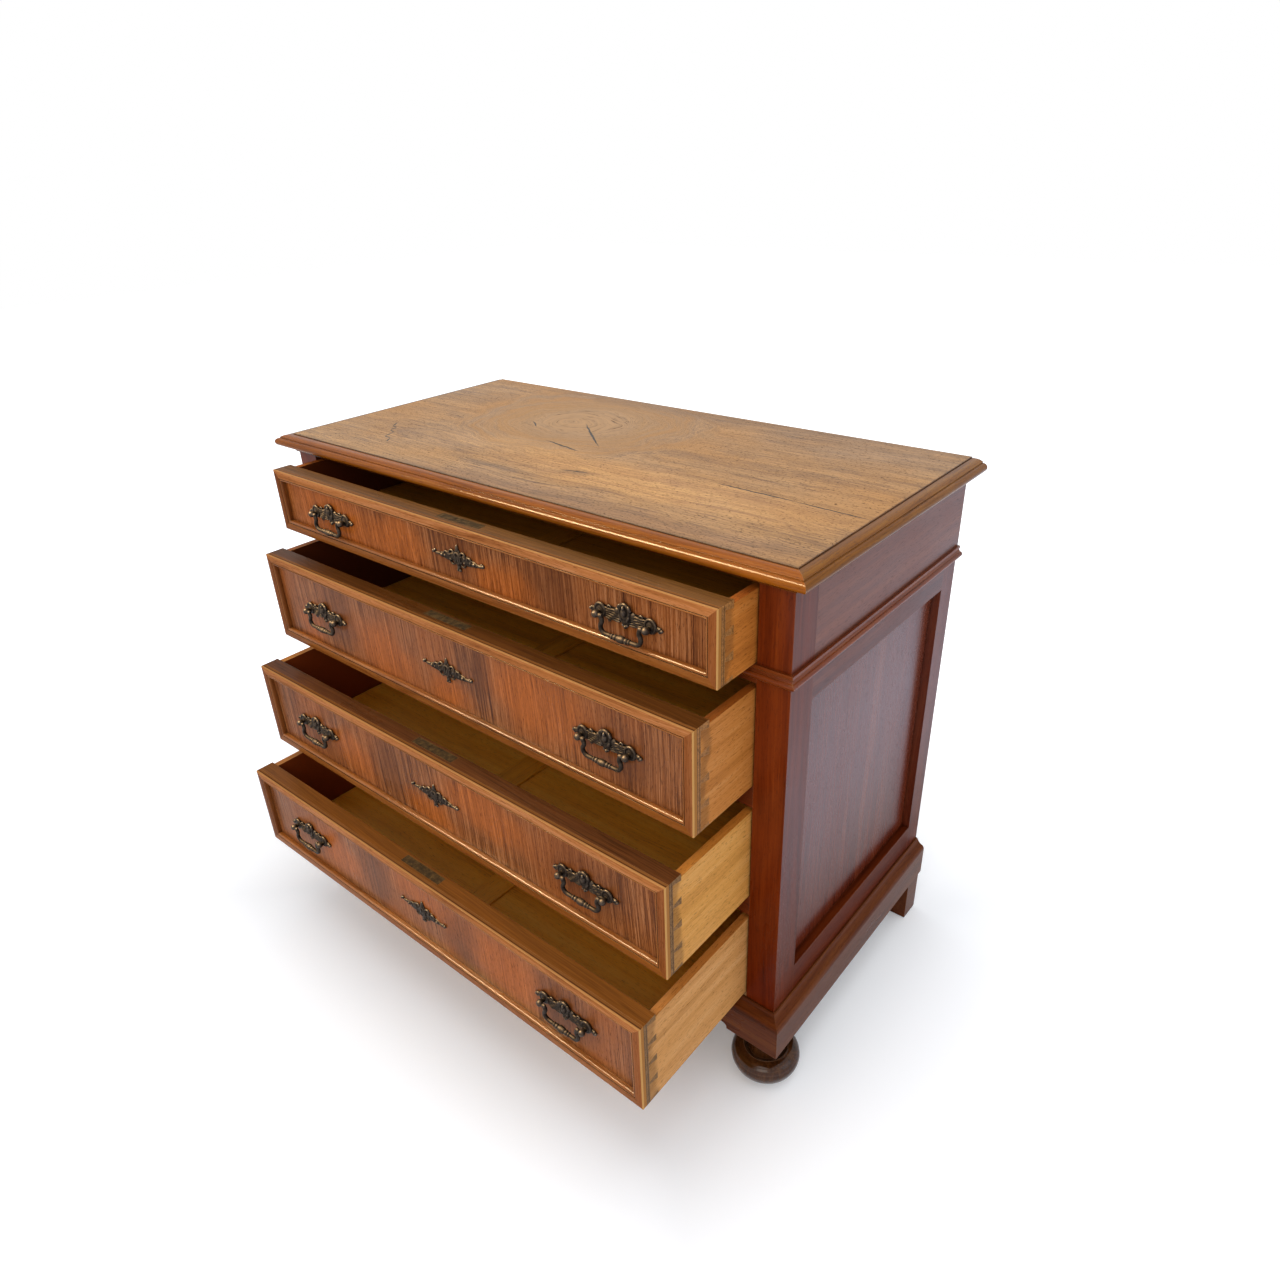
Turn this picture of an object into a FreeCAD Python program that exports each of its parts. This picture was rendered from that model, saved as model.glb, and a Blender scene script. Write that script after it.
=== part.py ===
import FreeCAD, Part
import math
import os

# A walnut chest of four drawers, shown with its drawers pulled out in steps.
# +X is to the right, +Y to the back and +Z up. The chest stands on z = 0, and the origin
# is the middle of its footprint with the drawers as they are pulled out here.
# While it is built, y = 0 is the plane of the carcass front.

V = FreeCAD.Vector

# Driving dimensions, in millimetres
# Carcass
carcass_width = 1065.0
carcass_depth = 522.0
post_width = 51.5
post_depth = 57.0
rear_post_width = 46.0
frame_thickness = 26.0
side_top_rail_height = 40.0
side_bottom_rail_height = 55.0
panel_thickness = 9.0
panel_recess = 14.0
panel_tongue = 8.0
floor_thickness = 10.0
rail_depth = 70.0
lower_rail_thickness = 37.7
waist_rail_thickness = 31.0
top_rail_thickness = 12.4
tenon_length = 18.0
tenon_thickness = 9.0
side_tenon_shoulder = 10.0
rail_tenon_width = 30.0
rail_tenon_shoulder = 3.0
runner_width = 62.0
runner_thickness = 24.0
guide_height = 30.0
stop_width = 40.0
stop_depth = 22.0
stop_height = 7.0
stop_offset = 170.0
# Back
back_thickness = 16.0
back_stile_width = 60.0
back_rail_height = 80.0
back_panel_thickness = 8.0
# Top
top_thickness = 22.5
top_overlap = 3.0
top_moulding_drop = 1.5
top_nose_reach = 29.0
top_moulding_height = 33.0
# Waist moulding
waist_reach = 9.7
waist_height = 24.0
waist_setdown = 1.0
# Plinth and feet
foot_height = 95.0
plinth_height = 77.0
plinth_reach = 18.8
plinth_thickness = 30.0
plinth_nose_height = 55.0
plinth_back_thickness = 22.0
apron_end = 456.0
apron_lift = 10.0
block_size = 60.0
bun_radius = 57.5
bun_height = 50.0
bun_inset = 47.0
bun_floor_radius = 41.0
neck_radius = 27.0
collar_radius = 34.0
collar_height = 6.0
foot_pin_radius = 12.0
foot_pin_length = 40.0
foot_pin_sides = 8
rear_foot_width = 60.0
rear_foot_depth = 45.0
rear_foot_setback = 4.0
foot_chamfer = 2.0
# Drawers, from the top one down
top_drawer_height = 111.0
lower_drawer_height = 165.0
drawer_heights = (top_drawer_height, lower_drawer_height, lower_drawer_height, lower_drawer_height)
drawer_pulls = (88.0, 138.0, 199.5, 261.0)
handle_lifts = (-4.0, 0.0, 0.0, 0.0)
front_tail_counts = (3, 4, 4, 4)
rear_tail_counts = (2, 3, 3, 3)
drawer_depth = 490.0
side_gap = 1.5
top_gap = 2.0
running_gap = 0.3
core_thickness = 26.0
frame_strip_width = 24.0
frame_strip_thickness = 9.0
frame_band_width = 11.5
side_thickness = 13.0
side_setdown = 5.0
tail_length = 18.0
pin_base = 13.0
pin_tip = 5.0
drawer_back_thickness = 12.0
drawer_back_setdown = 20.0
bottom_thickness = 8.0
bottom_lift = 10.0
bottom_groove = 6.0
muntin_width = 50.0
muntin_thickness = 14.0
# Locks
lock_plate_width = 96.0
lock_plate_depth = 16.0
lock_plate_thickness = 3.0
lock_plate_setback = 14.0
lock_case_width = 70.0
lock_case_depth = 18.0
lock_case_tail = 18.0
bolt_width = 26.0
bolt_thickness = 6.0
bolt_height = 30.0
bolt_setback = 21.0
bolt_travel = 8.0
bolt_setdown = 0.5
bolt_mortise_room = 2.0
keyhole_radius = 2.6
keyhole_length = 11.0
keyhole_sides = 8
# Handles
handle_margin = 125.5
handle_half_width = 62.5
handle_rise = 24.0
handle_fall = 14.0
plate_thickness = 2.5
bar_half_height = 6.5
bar_knob_offset = 27.0
boss_radius = 10.5
boss_height = 9.0
boss_lift = 11.0
shell_radius = 10.5
shell_height = 5.5
post_spacing = 85.0
post_radius = 3.6
post_reach = 13.0
post_ball = 5.5
post_sides = 6
bail_wire = 2.75
bail_arm_offset = 33.4
bail_shoulder_radius = 13.0
bail_corner_radius = 6.0
bail_sweep = 60.0
bail_sides = 6
bail_pin_radius = 1.8
bail_knuckle = 3.0
knop_radius = 4.6
knop_half_length = 9.0
# Escutcheons
escutcheon_half_width = 59.0
escutcheon_half_height = 22.0
escutcheon_thickness = 2.5
escutcheon_boss_radius = 9.0
escutcheon_boss_height = 5.0

# Worked-out levels and places
half_width = carcass_width / 2
half_opening = half_width - post_width
inner_face = half_width - frame_thickness
back_face = carcass_depth - back_thickness
plinth_top = foot_height + plinth_height
floor_top = plinth_top + floor_thickness
front_thickness = frame_strip_thickness + core_thickness
half_front = half_opening - side_gap
handle_offset = half_front - frame_strip_width - handle_margin
rail_thicknesses = (top_rail_thickness, waist_rail_thickness, lower_rail_thickness, lower_rail_thickness)

drawer_bottoms = []
opening_bottoms = []
level = floor_top
for height, rail in zip(reversed(drawer_heights), reversed(rail_thicknesses)):
    opening_bottoms.insert(0, level)
    drawer_bottoms.insert(0, level + running_gap)
    level += running_gap + height + top_gap + rail
carcass_top = level
top_surface = carcass_top + top_thickness
waist_rail_top = opening_bottoms[0]
waist_top = waist_rail_top - waist_setdown
waist_bottom = waist_top - waist_height
handle_reach = post_reach + post_ball - frame_strip_thickness
front_reach = drawer_pulls[-1] + handle_reach
origin_y = (carcass_depth - front_reach) / 2


def box(x0, x1, y0, y1, z0, z1):
    return Part.makeBox(x1 - x0, y1 - y0, z1 - z0, V(x0, y0, z0))


def mirrored(shape):
    return shape.mirror(V(0, 0, 0), V(1, 0, 0))


def pair(shape):
    return [shape, mirrored(shape)]


def face(outline, place):
    """A flat face from points (a, b), where a nested pair of points is an arc through the first."""
    edges = []
    here = outline[0]
    for step in outline[1:] + outline[:1]:
        if isinstance(step[0], tuple):
            via, end = step
            edges.append(Part.Arc(place(*here), place(*via), place(*end)).toShape())
        else:
            end = step
            edges.append(Part.LineSegment(place(*here), place(*end)).toShape())
        here = end
    return Part.Face(Part.Wire(edges))


def prism_x(outline, x0, x1):
    return face(outline, lambda y, z: V(x0, y, z)).extrude(V(x1 - x0, 0, 0))


def prism_y(outline, y0, y1):
    return face(outline, lambda x, z: V(x, y0, z)).extrude(V(0, y1 - y0, 0))


def prism_z(outline, z0, z1):
    return face(outline, lambda x, y: V(x, y, z0)).extrude(V(0, 0, z1 - z0))


def polygon(radius, sides):
    turns = [2 * math.pi * (k + 0.5) / sides for k in range(sides)]
    return [(radius * math.cos(turn), radius * math.sin(turn)) for turn in turns]


def flat(*corners):
    return Part.Face(Part.makePolygon(list(corners) + [corners[0]]))


def rod(stations, side, sides):
    """A many-sided rod through stations (point, radius) that lie in the plane square to side."""
    rings = []
    for k, (point, radius) in enumerate(stations):
        ways = []
        if k > 0:
            ways.append((point - stations[k - 1][0]).normalize())
        if k < len(stations) - 1:
            ways.append((stations[k + 1][0] - point).normalize())
        along = (ways[0] + ways[-1]).normalize()
        across = along.cross(side) / along.dot(ways[0])
        rings.append([point + across * a + side * b for a, b in polygon(radius, sides)])
    faces = [flat(*rings[0]), flat(*rings[-1])]
    for here, there in zip(rings, rings[1:]):
        for k in range(sides):
            faces.append(flat(here[k - 1], here[k], there[k]))
            faces.append(flat(here[k - 1], there[k], there[k - 1]))
    return Part.makeSolid(Part.makeShell(faces)).removeSplitter()


def cut_all(shape, tools):
    for tool in tools:
        shape = shape.cut(tool)
    return shape


def export(name, shapes):
    whole = Part.Compound(list(shapes))
    whole.translate(V(0, -origin_y, 0))
    whole.exportStep("parts/" + name + ".step")


def three_sided(outline, inner, outer):
    """A moulding round the front and both sides: mitred in front, cut square at the back.

    The outline is given as (distance out from the carcass face, height).
    """
    levels = [step[-1][1] if isinstance(step[0], tuple) else step[1] for step in outline]
    low, high = min(levels), max(levels)
    reach = half_width + outer
    front = face(outline, lambda out, z: V(-reach, -out, z)).extrude(V(2 * reach, 0, 0))
    side = face(outline, lambda out, z: V(half_width + out, -outer, z))
    side = side.extrude(V(0, carcass_depth + outer, 0))
    inside = half_width + inner
    front_part = prism_z([(-inside, -inner), (inside, -inner), (reach, -outer), (-reach, -outer)], low, high)
    side_part = prism_z([(inside, -inner), (reach, -outer), (reach, carcass_depth), (inside, carcass_depth)],
                        low, high)
    return [front.common(front_part)] + pair(side.common(side_part))


def make_top():
    edge = half_width + top_overlap
    board = box(-edge, edge, -top_overlap, carcass_depth, carcass_top, top_surface)
    reach = top_nose_reach
    tall = top_moulding_height
    start = top_surface - top_moulding_drop
    under = top_surface - tall * 0.62
    foot = top_surface - tall
    outline = [
        (top_overlap, start),
        (reach * 0.31, start - tall * 0.006),
        ((reach * 0.55, start - tall * 0.033), (reach * 0.724, start - tall * 0.106)),
        (reach * 0.724, top_surface - tall * 0.21),
        (reach * 0.776, top_surface - tall * 0.21),
        ((reach, top_surface - tall * 0.41), (reach * 0.83, under)),
        (reach * 0.69, under),
        ((reach * 0.276, under - tall * 0.106), (reach * 0.138, foot)),
        (0.0, foot),
        (0.0, carcass_top),
        (top_overlap, carcass_top),
    ]
    export("top_board", [board])
    export("top_moulding", three_sided(outline, 0.0, top_nose_reach))


def make_waist():
    reach, tall = waist_reach, waist_height
    outline = [
        (0.0, waist_top),
        (reach * 0.46, waist_top),
        (reach * 0.46, waist_top - tall * 0.19),
        (reach * 0.34, waist_top - tall * 0.25),
        (reach * 0.54, waist_top - tall * 0.4),
        ((reach, waist_top - tall * 0.57), (reach * 0.59, waist_top - tall * 0.77)),
        (0.0, waist_bottom),
    ]
    export("waist_moulding", three_sided(outline, 0.0, waist_reach))


def side_tenon(y0, y1, z0, z1):
    middle = half_width - frame_thickness / 2
    return box(middle - tenon_thickness / 2, middle + tenon_thickness / 2,
               y0 - tenon_length, y1 + tenon_length,
               z0 + side_tenon_shoulder, z1 - side_tenon_shoulder)


def front_rail_levels():
    """Bottom and top of each front rail, from the top one down."""
    tops = [carcass_top] + opening_bottoms[:-1]
    return [(top - thick, top) for top, thick in zip(tops, rail_thicknesses)]


def make_carcass():
    rear_start = carcass_depth - rear_post_width
    side_bottom = plinth_top + side_bottom_rail_height
    side_top = waist_bottom - side_top_rail_height
    panel_out = half_width - panel_recess
    panel = box(panel_out - panel_thickness, panel_out, post_depth - panel_tongue, rear_start + panel_tongue,
                side_bottom - panel_tongue, side_top + panel_tongue)

    side_rails = []
    for low, high in ((plinth_top, side_bottom), (side_top, waist_bottom)):
        rail = box(inner_face, half_width, post_depth, rear_start, low, high)
        rail = rail.fuse(side_tenon(post_depth, rear_start, low, high)).cut(panel)
        side_rails.append(rail.removeSplitter())

    front_rails = []
    for low, high in front_rail_levels():
        rail = box(-half_opening, half_opening, 0, rail_depth, low, high)
        middle = post_depth / 2
        reach = half_opening + tenon_length
        tenon = box(-reach, reach, middle - rail_tenon_width / 2, middle + rail_tenon_width / 2,
                    low + rail_tenon_shoulder, high - rail_tenon_shoulder)
        room = bolt_mortise_room
        mortise = box(-bolt_width / 2 - room, bolt_width / 2 + room, bolt_setback - room,
                      bolt_setback + bolt_thickness + room, low, low + bolt_travel + room)
        front_rails.append(rail.fuse(tenon).removeSplitter().cut(mortise))

    front_post = box(half_opening, half_width, 0, post_depth, plinth_top, carcass_top)
    front_post = cut_all(front_post, side_rails + [panel] + front_rails)
    rear_post = box(inner_face, half_width, rear_start, carcass_depth, plinth_top, waist_bottom)
    rear_post = cut_all(rear_post, side_rails + [panel])
    frieze = box(inner_face, half_width, post_depth, carcass_depth, waist_bottom, carcass_top)
    floor = prism_z([
        (-half_opening, 0),
        (half_opening, 0),
        (half_opening, post_depth),
        (inner_face, post_depth),
        (inner_face, back_face),
        (-inner_face, back_face),
        (-inner_face, post_depth),
        (-half_opening, post_depth),
    ], plinth_top, floor_top)

    export("front_posts", pair(front_post))
    export("rear_posts", pair(rear_post))
    export("side_rails", [solid for rail in side_rails for solid in pair(rail)])
    export("side_panels", pair(panel))
    export("frieze_sides", pair(frieze))
    export("front_rails", front_rails)
    export("floor_board", [floor])


def make_runners():
    solids = []
    for level in opening_bottoms:
        if level > floor_top:
            runner = box(inner_face - runner_width, inner_face, rail_depth, back_face,
                         level - runner_thickness, level)
            solids += pair(runner)
        guide = box(half_opening, inner_face, rail_depth, back_face, level, level + guide_height)
        solids += pair(guide)
    kicker = box(inner_face - runner_width, inner_face, rail_depth, back_face,
                 carcass_top - top_rail_thickness, carcass_top)
    export("drawer_runners", solids + pair(kicker))

    start = front_thickness + running_gap
    stops = []
    for level in opening_bottoms:
        stops += pair(box(stop_offset - stop_width / 2, stop_offset + stop_width / 2,
                          start, start + stop_depth, level, level + stop_height))
    export("drawer_stops", stops)


def make_back():
    low, high = plinth_top, carcass_top
    frame = box(-inner_face, inner_face, back_face, carcass_depth, low, high)
    half_muntin = back_stile_width / 2
    middle = (back_face + carcass_depth) / 2
    y0 = middle - back_panel_thickness / 2
    y1 = middle + back_panel_thickness / 2
    x0, x1 = half_muntin, inner_face - back_stile_width
    z0, z1 = low + back_rail_height, high - back_rail_height
    window = box(x0, x1, back_face, carcass_depth, z0, z1)
    panel = box(x0 - panel_tongue, x1 + panel_tongue, y0, y1, z0 - panel_tongue, z1 + panel_tongue)
    export("back_frame", [cut_all(frame, pair(window) + pair(panel))])
    export("back_panels", pair(panel))


def make_plinth():
    inner = plinth_reach - plinth_thickness
    reach = plinth_reach
    nose = foot_height + plinth_nose_height
    cap = plinth_top - nose
    outline = [
        (inner, foot_height),
        (reach, foot_height),
        (reach, nose),
        ((reach * 0.963, nose + cap * 0.23), (reach * 0.81, nose + cap * 0.43)),
        ((reach * 0.436, nose + cap * 0.62), (reach * 0.21, nose + cap * 0.93)),
        (reach * 0.13, plinth_top),
        (inner, plinth_top),
    ]
    front, right, left = three_sided(outline, inner, plinth_reach)
    lift = foot_height + apron_lift
    radius = apron_lift - 2.0
    notch = prism_y([
        (-apron_end, foot_height),
        (-apron_end, foot_height + 2.0),
        ((-apron_end + radius * 0.29, lift - radius * 0.29), (-apron_end + radius, lift)),
        (apron_end - radius, lift),
        ((apron_end - radius * 0.29, lift - radius * 0.29), (apron_end, foot_height + 2.0)),
        (apron_end, foot_height),
    ], -plinth_reach, -inner)
    inside = half_width + inner
    rear = box(-inside, inside, carcass_depth - plinth_back_thickness, carcass_depth,
               foot_height + apron_lift, plinth_top)
    export("plinth", [front.cut(notch), right, left, rear])

    centre = V(half_width + plinth_reach - bun_inset, bun_inset - plinth_reach, 0)
    room = running_gap
    pin_top = foot_height + foot_pin_length
    hole = prism_z(polygon(foot_pin_radius + room, foot_pin_sides), foot_height, pin_top + room)
    hole.translate(centre)
    front_block = box(inside - block_size, inside, -inner, block_size - inner, foot_height, plinth_top)
    front_block = front_block.cut(hole)
    rear_y = carcass_depth - plinth_back_thickness
    rear_block = box(inside - block_size, inside, rear_y - block_size, rear_y, foot_height, plinth_top)
    export("corner_blocks", pair(front_block) + pair(rear_block))

    collar = foot_height - collar_height
    foot = face([
        (0.0, 0.0),
        (bun_floor_radius, 0.0),
        (bun_radius * 0.93, bun_height * 0.18),
        (bun_radius, bun_height * 0.5),
        (bun_radius * 0.9, bun_height * 0.84),
        (collar_radius + 2.0, bun_height),
        (collar_radius - 4.0, bun_height + 4.0),
        (neck_radius, (bun_height + collar) / 2),
        (collar_radius, collar),
        (collar_radius, foot_height),
        (0.0, foot_height),
    ], lambda r, z: V(r, 0, z)).revolve(V(0, 0, 0), V(0, 0, 1), 360)
    foot = foot.fuse(prism_z(polygon(foot_pin_radius, foot_pin_sides), foot_height, pin_top))
    foot.translate(centre)
    export("bun_feet", pair(foot))

    outside = half_width + plinth_reach - rear_foot_setback
    block = box(outside - rear_foot_width, outside, carcass_depth - rear_foot_depth, carcass_depth,
                0, foot_height)
    bottom_edges = [edge for edge in block.Edges if edge.BoundBox.ZMax < foot_chamfer]
    export("rear_feet", pair(block.makeChamfer(foot_chamfer, bottom_edges)))


def tail_points(y_base, y_end, low, high, count):
    """Outline of a row of dovetails up one end of a drawer side, with a half pin at each end."""
    flare = (pin_base - pin_tip) / 2
    points = [(y_base, low), (y_base, low + pin_base / 2), (y_end, low + pin_base / 2 - flare)]
    for k in range(1, count):
        middle = low + (high - low) * k / count
        points += [(y_end, middle - pin_tip / 2), (y_base, middle - pin_base / 2)]
        points += [(y_base, middle + pin_base / 2), (y_end, middle + pin_tip / 2)]
    return points + [(y_end, high - pin_base / 2 + flare), (y_base, high - pin_base / 2), (y_base, high)]


def drawer_side(low, high, back_low, back_high, number):
    front = tail_points(front_thickness, front_thickness - tail_length, low, high, front_tail_counts[number])
    rear_base = drawer_depth - drawer_back_thickness
    rear = [(drawer_depth, low), (drawer_depth, back_low)]
    rear += tail_points(rear_base, drawer_depth, back_low, back_high, rear_tail_counts[number])
    rear += [(drawer_depth, back_high), (drawer_depth, high)]
    return prism_x(front + rear[::-1], half_front - side_thickness, half_front)


def front_frame(low, high):
    """The four mitred strips round a drawer front, with a quirk and an ovolo inside the flat band."""
    thick = frame_strip_thickness
    wide = frame_strip_width
    outline = [
        (0.0, 0.0),
        (0.0, thick),
        (frame_band_width, thick),
        (frame_band_width, thick * 0.67),
        (frame_band_width + wide * 0.083, thick * 0.67),
        (wide * 0.75, thick * 0.755),
        (wide * 0.89, thick * 0.49),
        (wide * 0.958, thick * 0.167),
        (wide, thick * 0.167),
        (wide, 0.0),
    ]
    face_y = frame_strip_thickness
    across = face(outline, lambda w, t: V(-half_front, face_y - t, low + w))
    across = across.extrude(V(2 * half_front, 0, 0))
    upright = face(outline, lambda w, t: V(half_front - w, face_y - t, low)).extrude(V(0, 0, high - low))
    inner = half_front - wide
    sill, head = low + wide, high - wide
    below = prism_y([(-half_front, low), (half_front, low), (inner, sill), (-inner, sill)], 0, face_y)
    beside = prism_y([(half_front, low), (half_front, high), (inner, head), (inner, sill)], 0, face_y)
    bottom = across.common(below)
    top = bottom.mirror(V(0, 0, (low + high) / 2), V(0, 0, 1))
    return [top, bottom] + pair(upright.common(beside))


def keyhole(z, y0, y1):
    round_part = prism_y([(x, z + rise) for x, rise in polygon(keyhole_radius, keyhole_sides)], y0, y1)
    slot = box(-keyhole_radius / 2, keyhole_radius / 2, y0, y1, z - keyhole_length, z)
    return round_part.fuse(slot).removeSplitter()


def lock_and_bolt(high, key_z):
    case_top = high - lock_plate_thickness
    case = box(-lock_case_width / 2, lock_case_width / 2, front_thickness - lock_case_depth, front_thickness,
               key_z - keyhole_length - lock_case_tail, case_top)
    plate = box(-lock_plate_width / 2, lock_plate_width / 2, lock_plate_setback,
                lock_plate_setback + lock_plate_depth, case_top, high)
    body = case.fuse(plate).removeSplitter()
    bolt_top = high - bolt_setdown
    bolt = box(-bolt_width / 2, bolt_width / 2, bolt_setback, bolt_setback + bolt_thickness,
               bolt_top - bolt_height, bolt_top)
    gap = running_gap
    slot = box(-bolt_width / 2 - gap, bolt_width / 2 + gap,
               bolt_setback - gap, bolt_setback + bolt_thickness + gap,
               bolt_top - bolt_height - gap, high)
    return body, body.cut(slot), bolt


def cast_plate(half_outline, thickness):
    """A plate in front of the plane y = 0, symmetric about x = 0, from its right half outline."""
    left = [(-x, z) for x, z in reversed(half_outline[1:-1])]
    return prism_y(half_outline + left, -thickness, 0)


def knob(x, z, profile, sides):
    """A turned knob that points to the front, from (height over y = 0, radius) pairs."""
    return rod([(V(x, -height, z), radius) for height, radius in profile], V(0, 0, 1), sides)


def handle_plate():
    """Cast plate with a domed boss, and a shell, post and ball at each end."""
    wide = handle_half_width
    half_posts = post_spacing / 2
    plate = cast_plate([
        (0.0, handle_rise),
        (boss_radius * 0.7, handle_rise - 2.5),
        (boss_radius + 2.0, boss_lift + 1.0),
        (boss_radius + 4.5, bar_half_height),
        (bar_knob_offset - 3.0, bar_half_height),
        (bar_knob_offset, bar_half_height + 4.0),
        (bar_knob_offset + 4.0, bar_half_height),
        (half_posts - 6.5, shell_radius),
        (half_posts, shell_radius + 2.5),
        (half_posts + 7.0, shell_radius - 0.5),
        (wide - 9.0, 2.2),
        (wide - 2.5, 3.0),
        (wide, 0.0),
        (wide - 2.5, -3.0),
        (wide - 9.0, -2.2),
        (half_posts + 7.0, -bar_half_height),
        (10.0, -bar_half_height),
        (5.0, -handle_fall + 2.0),
        (0.0, -handle_fall),
    ], plate_thickness)
    boss = knob(0, boss_lift, [(plate_thickness, boss_radius), (boss_height * 0.75, boss_radius * 0.75),
                               (boss_height, boss_radius * 0.3)], post_sides)
    pieces = [boss]
    profile = [
        (plate_thickness, shell_radius),
        (plate_thickness + shell_height, post_radius),
        (post_reach - post_ball * 0.8, post_radius),
        (post_reach, post_ball),
        (post_reach + post_ball, post_ball * 0.4),
    ]
    for x in (-half_posts, half_posts):
        pieces.append(knob(x, 0, profile, post_sides))
    room = bail_pin_radius + running_gap
    end = half_posts + running_gap
    hole = box(-end, end, -post_reach - room, -post_reach + room, -room, room)
    return plate.multiFuse(pieces).cut(hole).removeSplitter()


def bail():
    """Swan-necked bail in the plane y = 0, hung from pins on the X axis, with a turned knop below."""
    def bend(centre, radius, turns):
        angles = [math.radians(turn) for turn in turns]
        return [(centre + V(math.cos(a), 0, math.sin(a)) * radius, bail_wire) for a in angles]

    neck = V(-bail_arm_offset - bail_shoulder_radius, 0, 0)
    reach = bail_shoulder_radius + bail_corner_radius
    corner = bend(neck, reach, [-bail_sweep])[0][0]
    low = corner.z - bail_corner_radius
    knuckle = bail_arm_offset + bail_knuckle
    left = [
        (V(-post_spacing / 2, 0, 0), bail_pin_radius),
        (V(-knuckle - 1.0, 0, 0), bail_pin_radius),
        (V(-knuckle, 0, 0), bail_knuckle),
        (V(-bail_arm_offset, 0, 0), bail_knuckle),
    ]
    left += bend(neck, bail_shoulder_radius, [-bail_sweep / 2])
    left += bend(corner, bail_corner_radius, [180 - bail_sweep, 170, 220, 270])
    left += [(V(-knop_half_length, 0, low), bail_wire), (V(-knop_half_length / 2, 0, low), knop_radius)]
    right = [(V(-point.x, 0, point.z), radius) for point, radius in reversed(left)]
    return rod(left + right, V(0, 1, 0), bail_sides)


def escutcheon():
    """Pointed scroll plate with a ball at each end, a drop below and a raised boss round the keyhole."""
    shares = [(0, 1.0), (0.1, 0.59), (0.24, 0.41), (0.39, 0.48), (0.56, 0.23), (0.74, 0.2),
              (0.91, 0.07), (0.96, 0.15), (1.0, 0.0), (0.96, -0.15), (0.91, -0.07),
              (0.74, -0.23), (0.57, -0.36), (0.39, -0.3), (0.22, -0.48), (0.1, -0.73), (0, -1.0)]
    plate = cast_plate([(a * escutcheon_half_width, b * escutcheon_half_height) for a, b in shares],
                       escutcheon_thickness)
    boss = knob(0, 0, [(escutcheon_thickness, escutcheon_boss_radius),
                       (escutcheon_boss_height, escutcheon_boss_radius * 0.7)], 8)
    return plate.fuse(boss).cut(keyhole(keyhole_length / 2, -escutcheon_boss_height, 0)).removeSplitter()


def make_drawer(number):
    low = drawer_bottoms[number]
    high = low + drawer_heights[number]
    middle = (low + high) / 2
    key_z = middle + keyhole_length / 2
    name = "drawer_%d_" % (number + 1)
    field_y = frame_strip_thickness
    inner_x = half_front - side_thickness

    board_low = low + bottom_lift
    board_high = board_low + bottom_thickness
    board = box(muntin_width / 2 - bottom_groove, inner_x + bottom_groove,
                front_thickness - bottom_groove, drawer_depth, board_low, board_high)
    boards = pair(board)
    muntin_low = board_low - 2.0
    muntin = box(-muntin_width / 2, muntin_width / 2, front_thickness, drawer_depth - drawer_back_thickness,
                 muntin_low, muntin_low + muntin_thickness)
    muntin = cut_all(muntin, boards)
    back_high = high - drawer_back_setdown
    sides = pair(drawer_side(low, high - side_setdown, board_high, back_high, number))
    back = cut_all(box(-half_front, half_front, drawer_depth - drawer_back_thickness, drawer_depth,
                       board_high, back_high), sides)

    lock_space, lock, bolt = lock_and_bolt(high, key_z)
    core = box(-half_front, half_front, field_y, front_thickness, low, high)
    key_way = keyhole(key_z, field_y, front_thickness - lock_case_depth)
    core = cut_all(core, sides + boards + [lock_space, key_way])

    plate = handle_plate()
    swing = bail()
    lift = middle + handle_lifts[number]
    pieces = {
        "front": [core],
        "frame": front_frame(low, high),
        "box": [side.cut(board) for side, board in zip(sides, boards)] + [back],
        "bottom": boards + [muntin],
        "lock": [lock],
        "lock_bolt": [bolt],
        "escutcheon": [escutcheon().translate(V(0, field_y, middle))],
        "handle_plates": [plate.translated(V(x, field_y, lift)) for x in (-handle_offset, handle_offset)],
        "bail_left": [swing.translated(V(-handle_offset, field_y - post_reach, lift))],
        "bail_right": [swing.translated(V(handle_offset, field_y - post_reach, lift))],
    }
    for piece, solids in pieces.items():
        export(name + piece, [solid.translated(V(0, -drawer_pulls[number], 0)) for solid in solids])


def main():
    os.makedirs("parts", exist_ok=True)
    make_top()
    make_waist()
    make_carcass()
    make_runners()
    make_back()
    make_plinth()
    for number in range(len(drawer_heights)):
        make_drawer(number)


main()
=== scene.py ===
import math
from functools import partial

import bmesh
import bpy
from mathutils import Matrix, Quaternion, Vector


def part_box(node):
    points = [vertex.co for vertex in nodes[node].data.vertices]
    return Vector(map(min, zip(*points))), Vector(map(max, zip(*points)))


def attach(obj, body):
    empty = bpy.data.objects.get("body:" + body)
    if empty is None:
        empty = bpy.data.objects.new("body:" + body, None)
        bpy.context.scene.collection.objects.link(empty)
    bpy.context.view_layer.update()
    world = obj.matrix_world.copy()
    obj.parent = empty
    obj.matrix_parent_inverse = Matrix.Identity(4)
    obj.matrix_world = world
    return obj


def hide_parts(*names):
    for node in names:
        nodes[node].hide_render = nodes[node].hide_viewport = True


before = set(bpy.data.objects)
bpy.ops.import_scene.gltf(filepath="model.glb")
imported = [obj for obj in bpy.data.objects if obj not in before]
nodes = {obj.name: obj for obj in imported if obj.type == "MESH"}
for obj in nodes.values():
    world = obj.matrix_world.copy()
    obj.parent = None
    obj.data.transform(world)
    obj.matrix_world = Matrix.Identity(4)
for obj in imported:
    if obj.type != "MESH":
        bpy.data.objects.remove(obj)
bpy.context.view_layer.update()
scene = bpy.context.scene

MM = 0.001

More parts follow.
